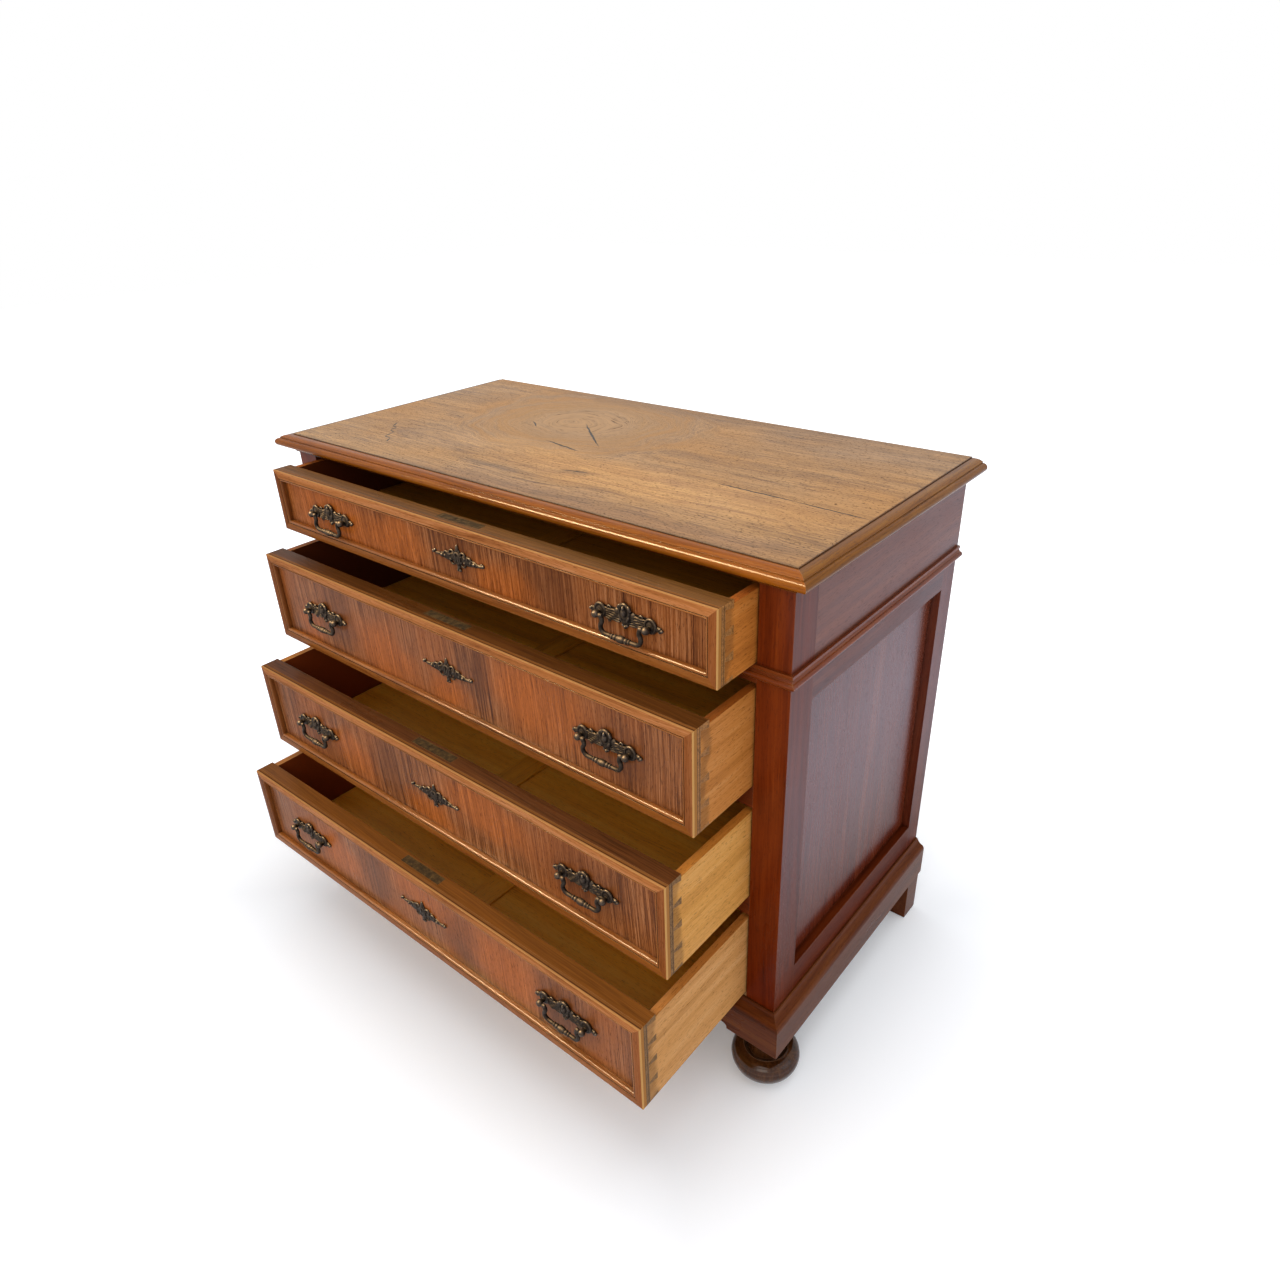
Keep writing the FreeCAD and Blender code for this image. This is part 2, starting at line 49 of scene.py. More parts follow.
# Sizes of the new pieces, in millimetres and degrees.
strip_width = 18.5
strip_rise = 9.0
rounded_edge = 1.5
eased_edge = 0.3
band_width = 13.8
quirk_width = 0.9
quirk_depth = 1.5
quirk_end = band_width + quirk_width
bead_drop = 0.4
ovolo = 3.2
mitre_gap = 0.05
post_offset = 42.5
post_reach = 13.0
post_ball = 5.5
plate_half_width = 62.5
plate_fall = 14.0
wire = 3.3
arm_offset = 33.4
neck_radius = 7.0
neck_turn = 30.0
sway_turn = 35.0
corner_radius = 9.0
screw_radius = 3.0
screw_offset = 41.0
screw_setback = 8.0

# Places on the solids, in millimetres, where the grain or the tone of a finish changes.
half_carcass = 532.5
carcass_front = -125.75
field_overlap = 3.0
side_board_start = 465.5
side_board_face = 466.8
side_board_middle = 479.5
muntin_half_width = 25.2
top_height = 938.0
# Where the worn edges and the painted shade on the inner wall of a frame strip start and end, from its outer
# rim and in depth from its glued face.
outer_wear = (3.0 * MM, 4.5 * MM)
inner_shade_span = (14.8 * MM, 16.4 * MM)
rear_wear = (-6.6 * MM, -5.4 * MM)
# Half sizes that reach through a whole piece, and those of the floor round the chest, which keeps most of its
# shadow and gets a painted shadow from a weaker lift.
any_depth = 9000.0
any_height = 10000.0
shaded_half_width = 560.0
shaded_half_depth = 400.0


# Modelling

def begin(primitive, place=(0, 0, 0), turn=(0, 0, 0), size=(1, 1, 1), **settings):
    """A primitive at its place and half sizes in millimetres, worked into its mesh."""
    bpy.ops.object.select_all(action="DESELECT")
    getattr(bpy.ops.mesh, f"primitive_{primitive}_add")(**settings)
    piece = bpy.context.object
    piece.scale = Vector(size) * MM
    piece.rotation_euler = [math.radians(angle) for angle in turn]
    piece.location = Vector(place) * MM
    bpy.ops.object.transform_apply(location=True, rotation=True, scale=True)
    return piece


def open_whole():
    """Opens the active piece for editing, with all of it selected."""
    bpy.ops.object.mode_set(mode="EDIT")
    bpy.ops.mesh.select_all(action="SELECT")


def shut():
    bpy.ops.object.mode_set(mode="OBJECT")


def choose(piece, kind, wanted):
    """Selects the edges or faces of the open piece whose middle, in millimetres, is wanted."""
    bpy.ops.mesh.select_mode(type=kind)
    bpy.ops.mesh.select_all(action="DESELECT")
    mesh = bmesh.from_edit_mesh(piece.data)
    for part in {"EDGE": mesh.edges, "FACE": mesh.faces}[kind]:
        corners = [corner.co for corner in part.verts]
        part.select_set(bool(wanted(sum(corners, Vector()) / len(corners) / MM)))
    mesh.select_flush_mode()
    bmesh.update_edit_mesh(piece.data)


def near(value, wanted):
    return abs(value - wanted) < 0.01


def draw_on(step, middle=None, swell=None):
    """Extrudes what is selected by a step, and swells it about its new middle."""
    bpy.ops.mesh.extrude_region_move(TRANSFORM_OT_translate={"value": Vector(step) * MM})
    if swell:
        bpy.ops.transform.resize(value=swell, center_override=Vector(middle) * MM)


def round_edges(piece, width, segments, y, z):
    """Rounds the edges of the open piece that run along X at a depth and a height."""
    choose(piece, "EDGE", lambda p: near(p.y, y) and near(p.z, z))
    bpy.ops.mesh.bevel(offset=width * MM, segments=segments, affect="EDGES")


def close_up(piece):
    """Merges doubles, closes open rings and turns the faces outwards."""
    bpy.ops.object.mode_set(mode="EDIT")
    bpy.ops.mesh.select_mode(type="VERT")
    bpy.ops.mesh.select_all(action="SELECT")
    bpy.ops.mesh.remove_doubles(threshold=0.01 * MM)
    bpy.ops.mesh.fill_holes(sides=0)
    bpy.ops.mesh.select_all(action="SELECT")
    bpy.ops.mesh.normals_make_consistent(inside=False)
    shut()
    return piece


def take_up(piece):
    bpy.ops.object.select_all(action="DESELECT")
    bpy.context.view_layer.objects.active = piece
    piece.select_set(True)


def applied(piece, kind, **settings):
    """Adds a modifier with its settings and applies it."""
    take_up(piece)
    bpy.ops.object.modifier_add(type=kind)
    modifier = piece.modifiers[-1]
    for key, value in settings.items():
        setattr(modifier, key, value)
    bpy.ops.object.modifier_apply(modifier=modifier.name)
    return piece


def joined(pieces, name):
    take_up(pieces[0])
    for piece in pieces:
        piece.select_set(True)
    bpy.ops.object.join()
    pieces[0].name = name
    return pieces[0]


def copied(piece, name, placing):
    """A copy with its own mesh, put in place by a matrix."""
    copy = bpy.data.objects.new(name, piece.data.copy())
    scene.collection.objects.link(copy)
    copy.data.transform(placing)
    if placing.determinant() < 0:
        copy.data.flip_normals()
    return copy


def smooth(piece, angle=40):
    take_up(piece)
    bpy.ops.object.shade_smooth_by_angle(angle=math.radians(angle))
    return piece


def fitted(piece, body, slot, finish, *stands_for):
    """Gives a piece its finish and its body, and hides the nodes that it stands for."""
    piece.data.materials.clear()
    piece.data.materials.append(finish)
    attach(piece, body)
    if stands_for:
        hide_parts(*stands_for)


def frame_strip(length):
    """One strip of a drawer's frame along X: a flat band with a rounded outer edge, a quirk, and a bead that
    falls steeply to the veneer, with mitred ends. The outer edge is on z = 0 and the glued face on y = 0."""
    piece = begin("cube", (0, -strip_rise / 2, strip_width / 2),
                  size=(length / 2, strip_rise / 2, strip_width / 2))
    bead_face = bead_drop - strip_rise
    bpy.ops.object.mode_set(mode="EDIT")
    for level in (band_width, quirk_end):
        bpy.ops.mesh.select_all(action="SELECT")
        bpy.ops.mesh.bisect(plane_co=(0, 0, level * MM), plane_no=(0, 0, 1))
    choose(piece, "FACE", lambda p: near(p.y, -strip_rise) and band_width < p.z < quirk_end)
    draw_on((0, quirk_depth, 0))
    choose(piece, "FACE", lambda p: near(p.y, -strip_rise) and p.z > quirk_end)
    bpy.ops.transform.translate(value=(0, bead_drop * MM, 0))
    round_edges(piece, ovolo, 9, bead_face, strip_width)
    round_edges(piece, eased_edge, 3, bead_face, quirk_end)
    round_edges(piece, eased_edge, 3, -strip_rise, band_width)
    round_edges(piece, rounded_edge, 5, -strip_rise, 0)
    for side in (-1, 1):
        bpy.ops.mesh.select_all(action="SELECT")
        bpy.ops.mesh.bisect(plane_co=(side * (length / 2 - mitre_gap) * MM, 0, 0), plane_no=(side, 0, 1),
                            use_fill=True, clear_outer=True)
    shut()
    piece.data.attributes.new("grain", "FLOAT_VECTOR", "POINT")
    for point, value in zip(piece.data.vertices, piece.data.attributes["grain"].data):
        value.vector = point.co
    return smooth(close_up(piece))


def bun_foot(x, y):
    """A turned foot: a flattened ball with a fine ring on its shoulder, a hollow, and a neck that flares."""
    rings = [(33.0, 0.6), (41.0, 4.2), (48.0, 10.0), (53.2, 17.0), (56.2, 25.0), (57.2, 32.0), (56.0, 39.0),
             (52.4, 44.4), (47.6, 47.8), (43.0, 49.4), (39.6, 50.0), (37.6, 50.5), (36.6, 51.0), (35.6, 50.6),
             (35.0, 49.2), (33.6, 46.6), (31.2, 46.0), (29.4, 48.2), (28.0, 54.0), (27.0, 62.0), (26.8, 70.0),
             (27.6, 76.5), (29.4, 82.5), (32.4, 87.2), (33.6, 88.6), (34.0, 90.0), (34.0, 95.0)]
    radius, height = 31.0, 0.0
    piece = begin("circle", (x, y, 0), size=(radius, radius, 1), vertices=96, radius=1, fill_type="NGON")
    open_whole()
    for next_radius, next_height in rings:
        share = next_radius / radius
        draw_on((0, 0, next_height - height), (x, y, next_height), (share, share, 1))
        radius, height = next_radius, next_height
    shut()
    return smooth(close_up(piece), 50)


def ball(place, size, lean=0):
    return begin("uv_sphere", place, (0, lean, 0), size, segments=20, ring_count=12, radius=1)


def rod(place, turn, size, vertices=24):
    return begin("cylinder", place, turn, size, vertices=vertices, radius=1, depth=2)


def block(place, size):
    return begin("cube", place, size=size)


def eye_ring(place, size, thick):
    """A ring that faces the front, such as a scroll's eye or a hood's rim."""
    return begin("torus", place, (90, 0, 0), size, major_segments=28,
                 minor_segments=10, major_radius=1, minor_radius=thick)


def reed(points, radii):
    """A rod that runs along X from point to point."""
    piece = begin("circle", points[0], (0, 90, 0), (radii[0],) * 3,
                  vertices=12, radius=1, fill_type="NGON")
    open_whole()
    for last, point, thin, thick in zip(points, points[1:], radii, radii[1:]):
        draw_on(Vector(point) - Vector(last), point, (1, thick / thin, thick / thin))
    shut()
    return close_up(piece)


def scroll(x, z, radius, start, turn, thick, y=-2.0):
    """A C-scroll in the plane of the plate: a ring spun about its eye, with a ball at each end."""
    ends = [math.radians(start), math.radians(start + turn)]
    tips = [(x + radius * math.cos(end), y, z + radius * math.sin(end)) for end in ends]
    piece = begin("circle", tips[0], (0, -start, 0), (thick,) * 3, vertices=12, radius=1)
    open_whole()
    bpy.ops.mesh.spin(steps=16, angle=math.radians(turn), center=Vector((x, y, z)) * MM, axis=(0, 1, 0))
    shut()
    return [close_up(piece), ball(tips[0], (thick * 1.25,) * 3), ball(tips[1], (thick * 1.5,) * 3)]


def cast(forms, name, voxel, share):
    """Fuses the forms of a casting into one skin, softens it as a worn mould does, and thins its faces."""
    piece = joined(forms, name)
    applied(piece, "REMESH", mode="VOXEL", voxel_size=voxel * MM)
    applied(piece, "SMOOTH", factor=0.5, iterations=3)
    return applied(piece, "DECIMATE", ratio=share)


def flat_back(piece):
    open_whole()
    bpy.ops.mesh.bisect(plane_co=(0, 0, 0), plane_no=(0, 1, 0), use_fill=True, clear_outer=True)
    shut()
    return close_up(piece)


def drilled(piece, drill):
    applied(piece, "BOOLEAN", operation="DIFFERENCE", object=drill, solver="EXACT")
    bpy.data.objects.remove(drill)
    return piece


def plate_end(side):
    """The forms on one side of a handle plate, from its boss to its end."""
    post = side * post_offset
    forms = [
        ball((side * 3.4, -2.6, -8.6), (2.3, 2.3, 2.3)),
        ball((side * 6.4, -4.4, 2.0), (2.4, 2.4, 5.6), side * 24),
        ball((side * 8.8, -4.0, 17.0), (2.2, 2.4, 4.6), -side * 30),
        eye_ring((side * 27.0, -2.4, 9.8), (2.5, 2.5, 2.5), 0.5),
        eye_ring((side * 27.6, -2.2, -9.0), (1.9, 1.9, 1.9), 0.5),
        ball((post, -1.0, 1.0), (9.6, 4.6, 10.6)),
        eye_ring((post, -3.0, 2.6), (8.2, 9.0, 8.2), 0.25),
        ball((side * 53.5, -1.4, 0.6), (6.4, 2.8, 4.0)),
        ball((side * 57.0, -2.0, 2.2), (2.6, 2.4, 2.2)),
        ball((side * 57.0, -2.0, -2.2), (2.6, 2.4, 2.2)),
        ball((side * (plate_half_width - 2.6), -2.2, 0), (2.6, 2.5, 2.5)),
        rod((post, -post_reach / 2, 0), (90, 0, 0), (3.6, 3.6, post_reach / 2)),
        ball((post, -post_reach, 0), (post_ball,) * 3),
        block((side * 21, -0.9, 0.6), (16, 1.6, 7.6)),
        ball((side * 13.0, -1.6, 7.6), (5.4, 2.8, 5.2), side * 30),
    ]
    waves = [0.0, 0.9, 0.2, -0.8, -0.2, 0.9, 0.3, -0.2]
    radii = [1.4, 1.6, 1.75, 1.75, 1.75, 1.65, 1.5, 1.0]
    for row in range(-2, 3):
        heights = [0.6 + row * 3.4 + waves[(step + row) % len(waves)] for step in range(len(radii))]
        forms.append(reed([(side * (8.5 + 3.6 * step), -2.8, z) for step, z in enumerate(heights)], radii))
    return forms


def handle_plate():
    """The cast plate of a handle: a hooded boss, reeded bars, and a shell, post and ball at each end."""
    forms = [
        ball((0, -1.5, 11.5), (10.2, 3.2, 11.6)),
        eye_ring((0, -3.6, 11.6), (8.2, 9.6, 8.2), 0.27),
        ball((0, -4.6, 10.6), (4.4, 4.4, 6.2)),
        ball((0, -5.6, 16.6), (2.2, 3.0, 3.4)),
        ball((0, -2.0, -2.0), (9.0, 3.4, 6.0)),
        ball((0, -2.4, -11.2), (2.8, 2.8, 2.8)),
    ]
    piece = flat_back(cast(forms + plate_end(-1) + plate_end(1), "handle_plate", 0.42, 0.2))
    pin_hole = rod((0, -post_reach, 0), (0, 90, 0), (2.1, 2.1, post_offset + 0.3), 20)
    return smooth(drilled(piece, pin_hole), 60)


def bail():
    """A swan-necked bail about its pivot line: two bends in each arm, a round corner, a bar with a ringed
    knop, and a pin at each end."""
    neck, sway = math.radians(neck_turn), math.radians(sway_turn)
    inner = Vector((neck_radius - arm_offset, 0, 0))
    outer = inner - 2 * neck_radius * Vector((math.cos(neck), 0, math.sin(neck)))
    corner = outer + (neck_radius + corner_radius) * Vector((math.cos(sway), 0, -math.sin(sway)))
    bar_height = corner.z - corner_radius
    turned = [(corner.x, wire), (-19.0, 3.1), (-16.6, 2.8), (-15.8, 3.3), (-14.6, 4.1), (-13.4, 3.6),
              (-12.8, 3.0), (-12.0, 3.0), (-11.0, 3.9), (-9.4, 4.4), (-8.0, 4.0), (-7.2, 3.4), (-6.2, 4.0),
              (-4.4, 4.9), (-2.2, 5.2), (0.0, 5.3)]
    arm = begin("circle", (-arm_offset, 0, 0), size=(wire, wire, 1), vertices=20, radius=1)
    open_whole()
    for middle, angle in [(inner, neck), (outer, -neck - sway), (corner, math.pi / 2 + sway)]:
        bpy.ops.mesh.spin(steps=10, angle=angle, center=middle * MM, axis=(0, 1, 0))
    for (last, thin), (place, thick) in zip(turned, turned[1:]):
        draw_on((place - last, 0, 0), (place, 0, bar_height), (1, thick / thin, thick / thin))
    shut()
    applied(arm, "MIRROR", use_axis=(True, False, False), use_clip=True)
    forms = [close_up(arm)]
    stops = [41.6, 37.4, 36.9, 36.5, 35.8, 33.4, 31.4, 30.6]
    radii = [1.8, 1.8, 2.3, 2.8, 3.1, 3.3, 2.9, 1.6]
    for side in (-1, 1):
        forms.append(reed([(side * stop, 0, 0) for stop in stops], radii))
    return smooth(cast(forms, "bail", 0.4, 0.35), 60)


def key_plate_wing(side):
    """The forms on one side of a key plate: leaves, beads, three scrolls and four reeds."""
    forms = [
        ball((side * 19.0, -0.4, -0.4), (15.0, 2.8, 8.0), side * 6),
        ball((side * 34.0, -0.4, -1.8), (11.0, 2.5, 4.8), side * 8),
        ball((side * 36.5, -2.2, -1.6), (2.5, 2.3, 2.5)),
        ball((side * 46.5, -0.6, -2.0), (8.0, 2.2, 2.6), side * 4),
        ball((side * 56.0, -1.6, -0.2), (2.9, 2.6, 2.9)),
        ball((side * 53.2, -1.4, 2.2), (1.8, 1.8, 1.8)),
    ]
    forms += scroll(side * 12.6, 6.0, 5.2, 90 + side * 110, -side * 230, 1.6)
    forms += scroll(side * 12.0, -6.6, 4.8, 90 + side * 70, side * 235, 1.5)
    forms += scroll(side * 26.0, 2.0, 4.2, 90 + side * 80, -side * 220, 1.4)
    radii = [0.8, 1.1, 1.2, 1.0, 0.7]
    for row in (-4.6, -1.6, 1.4, 4.2):
        line = [(side * (13 + 5 * step), -2.2 + 0.2 * step, row - 0.35 * step) for step in range(len(radii))]
        forms.append(reed(line, radii))
    return forms


def escutcheon():
    """A pierced key plate: a pointed leaf above, a drop below and scrolls that end in balls."""
    forms = [
        ball((0, -0.6, 0.5), (8.6, 4.4, 11.0)),
        eye_ring((0, -3.0, 0.5), (6.6, 8.6, 6.6), 0.24),
        ball((0, -1.0, 13.0), (3.6, 2.6, 9.0)),
        ball((-3.4, -0.8, 10.4), (2.4, 2.2, 6.4), 24),
        ball((3.4, -0.8, 10.4), (2.4, 2.2, 6.4), -24),
        ball((0, -1.0, -13.6), (3.4, 2.6, 6.4)),
        ball((-2.3, -1.4, -19.2), (2.4, 2.2, 2.4)),
        ball((2.3, -1.4, -19.2), (2.4, 2.2, 2.4)),
    ]
    piece = flat_back(cast(forms + key_plate_wing(-1) + key_plate_wing(1), "escutcheon", 0.42, 0.2))
    drilled(piece, rod((0, -3, 5.5), (90, 0, 0), (2.6, 2.6, 6)))
    drilled(piece, block((0, -3, 0), (1.3, 6, 5.5)))
    return smooth(piece, 60)


def lock_screw():
    """A slotted countersunk screw head, seen from above, with its rim just above z = 0."""
    piece = rod((0, 0, -0.2), (0, 0, 0), (screw_radius, screw_radius, 0.4), 28)
    bpy.ops.object.mode_set(mode="EDIT")
    choose(piece, "EDGE", lambda p: near(p.z, 0.2) and math.hypot(p.x, p.y) > screw_radius - 0.2)
    bpy.ops.mesh.bevel(offset=0.25 * MM, segments=3, affect="EDGES")
    shut()
    return drilled(piece, block((0, 0, 0.2), (4, 0.4, 0.3)))


# Finishes

def linear(code):
    """An sRGB hex colour as linear red, green, blue and alpha."""
    parts = [int(code[start:start + 2], 16) / 255 for start in (1, 3, 5)]
    return [part / 12.92 if part <= 0.04045 else ((part + 0.055) / 1.055) ** 2.4 for part in parts] + [1.0]


def add(tree, kind, *values, output=0, stops=(), **settings):
    """Adds a node and gives one of its open outputs. An operation may follow the kind. Values, hex colours
    and links fill the open inputs in order; a setting is a property, or an input by its name. The stops of
    a ramp are hex colours or strengths at their positions."""
    kind, _, operation = kind.partition(" ")
    made = tree.nodes.new("ShaderNode" + kind)
    if operation:
        made.operation = operation
    for key in [key for key in settings if hasattr(made, key)]:
        setattr(made, key, settings.pop(key))
    if stops:
        ramp = made.color_ramp.elements
        ramp.remove(ramp[1])
        ramp[0].position = stops[0][0]
        for position, _ in stops[1:]:
            ramp.new(position)
        for stop, (position, tone) in zip(ramp, stops):
            stop.color = linear(tone) if isinstance(tone, str) else (tone, tone, tone, 1.0)
    inputs = list(zip([socket for socket in made.inputs if socket.enabled], values))
    inputs += [(made.inputs[key.replace("_", " ")], value) for key, value in settings.items()]
    for socket, value in inputs:
        if isinstance(value, bpy.types.NodeSocket):
            tree.links.new(value, socket)
        else:
            socket.default_value = linear(value) if isinstance(value, str) else value
    if isinstance(output, str):
        return made.outputs[output]
    results = [socket for socket in made.outputs if socket.enabled]
    return results[output] if results else None


def stretched_noise(node, vector, rates, detail, roughness=0.5, output="Fac"):
    """Noise with its own rate per metre along each axis."""
    stretched = node("VectorMath MULTIPLY", vector, rates)
    return node("TexNoise", stretched, Scale=1.0, Detail=detail, Roughness=roughness, output=output)


def new_finish(name):
    """A material with an empty tree, and the function that adds nodes to it."""
    finish = bpy.data.materials.new(name)
    finish.use_nodes = True
    finish.node_tree.nodes.clear()
    return finish, partial(add, finish.node_tree)


class WoodLayers:
    """Wood under polish, built up in layers. Each layer works on the colour, height and gloss so far."""

    def __init__(self, name, along, polish):
        self.finish, self.add = new_finish(name)
        self.stretched = partial(stretched_noise, self.add)
        self.polish = polish
        self.gloss = polish
        self.ringed = None
        self.place = self.add("TexCoord", output="Object")
        self.x, self.y, self.z = self.add("SeparateXYZ", self.place, output=slice(3))
        outward = self.add("TexCoord", output="Normal")
        sideways, self.backward, self.upward = self.add("SeparateXYZ", outward, output=slice(3))
        self.ends = self.add("Math ABSOLUTE", sideways)
        self.out_x = self.add("Math ABSOLUTE", self.x)
        self.past_side = self.add("Math SUBTRACT", self.out_x, half_carcass * MM)
        self.past_front = self.add("Math SUBTRACT", carcass_front * MM, self.y)
        self.eased = self.add("Bevel", 0.9 * MM, samples=4)
        self.grain = self.run(along)

    def tint(self, share, tone, blend="MIX"):
        """Lays a tone over the colour so far."""
        self.colour = self.add("Mix", share, self.colour, tone, data_type="RGBA", blend_type=blend)

    def streaked(self, tone, strength):
        """A tone with the streaks of the grain in it."""
        return self.add("Mix", strength, tone, self.grey, data_type="RGBA", blend_type="OVERLAY")

    def shaken(self, vector, scale, detail, reach):
        """A place that noise pushes about, by up to half the reach either way."""
        push = self.add("TexNoise", self.place, Scale=scale, Detail=detail, output="Color")
        start = self.add("VectorMath SUBTRACT", vector, Vector(reach) / 2)
        return self.add("VectorMath MULTIPLY_ADD", push, reach, start)

    def mapped(self, place, centre, half, turn=(0, 0, 0)):
        """A place as seen from a turned centre, in half sizes."""
        centre, half = Vector(centre) * MM, Vector(half) * MM
        return self.add("Mapping", place, centre, turn, half, vector_type="TEXTURE")

    def oval(self, place, centre, half, turn):
        """How far inside an oval a place is, from 0 at the rim to 1 at the centre."""
        inside = self.mapped(place, centre, half, turn)
        return self.add("TexGradient", inside, gradient_type="SPHERICAL", output="Fac")

    def run(self, along):
        """The run of the grain, with x along it. A drawer front's veneer stands upright on a lengthwise core,
        and mouldings, drawer boxes and drawer bottoms have parts that lie across the others."""
        across = self.add("CombineXYZ", self.y, self.x, self.z)
        upright = self.add("CombineXYZ", self.z, self.x, self.y)
        one_way = {"x": self.place, "y": across, "z": upright}
        if along in one_way:
            return one_way[along]
        if along == "strip":
            return self.add("Attribute", attribute_name="grain", output="Vector")
        other_way, test, value, limit = {
            "front": (upright, "LESS_THAN", self.backward, -0.5),
            "mitred": (across, "GREATER_THAN", self.past_side, self.past_front),
            "box": (across, "GREATER_THAN", self.out_x, side_board_start * MM),
            "bottom": (across, "LESS_THAN", self.out_x, muntin_half_width * MM),
        }[along]
        self.turned = self.add("Math " + test, value, limit)
        return self.add("Mix", self.turned, self.place, other_way, data_type="VECTOR")

    def shift(self, seed, slope):
        """Another stretch of the same wood, with its grain sloping a little. The first run stays at hand, as
        on a frame strip it tells how deep a point lies and how far from the outer rim."""
        self.deep, self.rim = self.add("SeparateXYZ", self.grain, output=slice(1, 3))
        self.grain = self.add("VectorMath ADD", self.grain, (seed * 3.1, seed * 0.37, seed * 0.71))
        if slope:
            lean = self.add("Math MULTIPLY", self.add("SeparateXYZ", self.grain), slope)
            self.grain = self.add("VectorMath ADD", self.grain, self.add("CombineXYZ", 0.0, lean))

    def swirl(self, centre, half, spread):
        """Bends the grain into rings about a knot."""
        heart = self.shaken(self.mapped(self.place, centre, half), 9.0, 2.0, (0.4, 0.4, 0.0))
        ring = self.add("VectorMath LENGTH", heart)
        self.ringed = self.add("MapRange", ring, 0.3, 1.0, 0.85, 0.0, interpolation_type="SMOOTHSTEP")
        ring = self.add("CombineXYZ", 0.0, self.add("Math MULTIPLY", ring, spread * MM))
        self.grain = self.add("Mix", self.ringed, self.grain, ring, data_type="VECTOR")

    def figure(self, dark, middle, light, band, fibre, fine, contrast, waver):
        """Growth bands and fibres that waver along the grain. Real fibres are a tenth of a millimetre wide or
        less; these are drawn many times coarser, because finer ones would not show at this picture size."""
        along, across, reach = waver
        drift = self.stretched(self.grain, (along, across, across), 3.0, output="Color")
        self.drift = self.add("VectorMath MULTIPLY_ADD", drift, (0.0, reach, reach), self.grain)
        band_rate, fibre_rate = 1 / (band * MM), 1 / (fibre * MM)
        bands = self.stretched(self.drift, (1.3, band_rate, band_rate), 6.0, 0.62)
        self.fibres = self.stretched(self.drift, (9.0, fibre_rate, fibre_rate), 3.0, 0.6)
        blend = self.add("Mix", fine, bands, self.fibres)
        if self.ringed is not None:
            blend = self.add("Mix", self.add("Math MULTIPLY", self.ringed, 0.7), blend, 0.5)
        spread = 0.17 / contrast
        low, high = 0.5 - spread, 0.5 + spread
        streak = self.add("MapRange", blend, low, high, 0.2, 0.8)
        self.grey = self.add("CombineColor", streak, streak, streak)
        self.colour = self.add("ValToRGB", blend, stops=[(low, dark), (0.5, middle), (high, light)])

    def clouds(self, warm, warmth):
        """Clouds of warmer colour, drawn out along the grain."""
        self.cloud = self.stretched(self.grain, (4.0, 9.0, 9.0), 4.0)
        self.tint(self.add("MapRange", self.cloud, 0.42, 0.66, 0.0, warmth), warm)

    def patches(self, patches):
        """Ragged patches of other colour, each with its tone, strength, centre, half sizes and turn."""
        ragged = self.shaken(self.place, 14.0, 4.0, (0.06, 0.06, 0.06))
        for tone, strength, centre, half, turn in patches:
            spot = self.oval(ragged, centre, half, [math.radians(angle) for angle in turn])
            spot = self.add("MapRange", spot, 0.0, 0.7, 0.0, strength, interpolation_type="SMOOTHSTEP")
            self.tint(spot, self.streaked(tone, 0.55))

    def pores(self, strength, length, width):
        """Short open pores along the grain: darker, sunk and dull. They too are coarser than real ones."""
        pits = self.stretched(self.drift, (1 / (length * MM), 1 / (width * MM), 1 / (width * MM)), 2.0)
        self.pits = self.add("MapRange", pits, 0.58, 0.7, 0.0, strength)
        self.tint(self.pits, "#5a3a24", "MULTIPLY")
        self.height = self.add("Math MULTIPLY_ADD", self.pits, -0.8, self.fibres)

    def cracks(self, cracks):
        """Jagged dark cracks in a level face, each from its start to its end with its half width."""
        jagged = self.shaken(self.place, 70.0, 2.0, (0.005, 0.005, 0.0))
        opened = 0.0
        for start, end, width in cracks:
            run = Vector(end) - Vector(start)
            middle = (Vector(end) + Vector(start)) / 2
            line = self.oval(jagged, middle.to_3d(), (run.length / 2 + width, width, any_height),
                             (0, 0, math.atan2(run.y, run.x)))
            opened = self.add("Math MAXIMUM", opened, line)
        opened = self.add("MapRange", opened, 0.15, 0.45, 0.0, 1.0)
        self.tint(opened, "#1e0f06")
        self.height = self.add("Math MULTIPLY_ADD", opened, -2.0, self.height)

    def shaded_low_part(self, tone):
        """Painted shade near the floor: a darker tone there, and less gloss."""
        self.tint(self.add("MapRange", self.z, 0.2, 0.5, 0.9, 0.0), tone, "MULTIPLY")
        self.gloss = self.add("MapRange", self.z, 0.22, 0.6, self.polish * 0.12, self.polish)

    def bare_edges(self, tone):
        """The core of a veneered board, on every face but the front."""
        turned_away = self.add("Math GREATER_THAN", self.backward, -0.5)
        self.tint(turned_away, self.streaked(tone, 0.7))
        self.gloss = self.add("MapRange", turned_away, 0.0, 1.0, self.polish, 0.05)

    def left_and_right_faces(self, tone, lines):
        """A tone on the left and right faces: end grain with dark glue lines at their depths on a drawer
        front, painted shade on the sides of the posts.
        """
        end_face = self.add("Math GREATER_THAN", self.ends, 0.5)
        self.tint(end_face, self.streaked(tone, 0.8))
        for depth in lines:
            off = self.add("Math ABSOLUTE", self.add("Math SUBTRACT", self.y, depth * MM))
            off = self.add("MapRange", off, 0.4 * MM, 1.3 * MM, 0.6, 0.0)
            self.tint(self.add("Math MULTIPLY", off, end_face), "#2c1608")

    def strip_band(self):
        """A frame strip's flat band in the painted light and shade of its place and with its polish, and
        painted shade in the quirk as a dark line.
        """
        shade = partial(self.add, "Attribute", attribute_name="shade")
        flat = self.add("MapRange", self.rim, band_width * MM, quirk_end * MM, 1.0, 0.3)
        # Painted light and shade of the strip's place, on its band.
        self.tint(flat, shade(output="Color"), "MULTIPLY")
        # Painted shade in the quirk.
        quirk_shade = self.add("Math SUBTRACT", self.rim, (band_width + quirk_width / 2) * MM)
        quirk_shade = self.add("Math ABSOLUTE", quirk_shade)
        self.tint(self.add("MapRange", quirk_shade, 0.5 * MM, 1.2 * MM, 0.75, 0.0), "#38180a")
        gloss = self.add("MapRange", self.rim, band_width * MM, quirk_end * MM, 0.04, self.polish)
        self.gloss = self.add("Math MULTIPLY", gloss, shade(output="Alpha"))

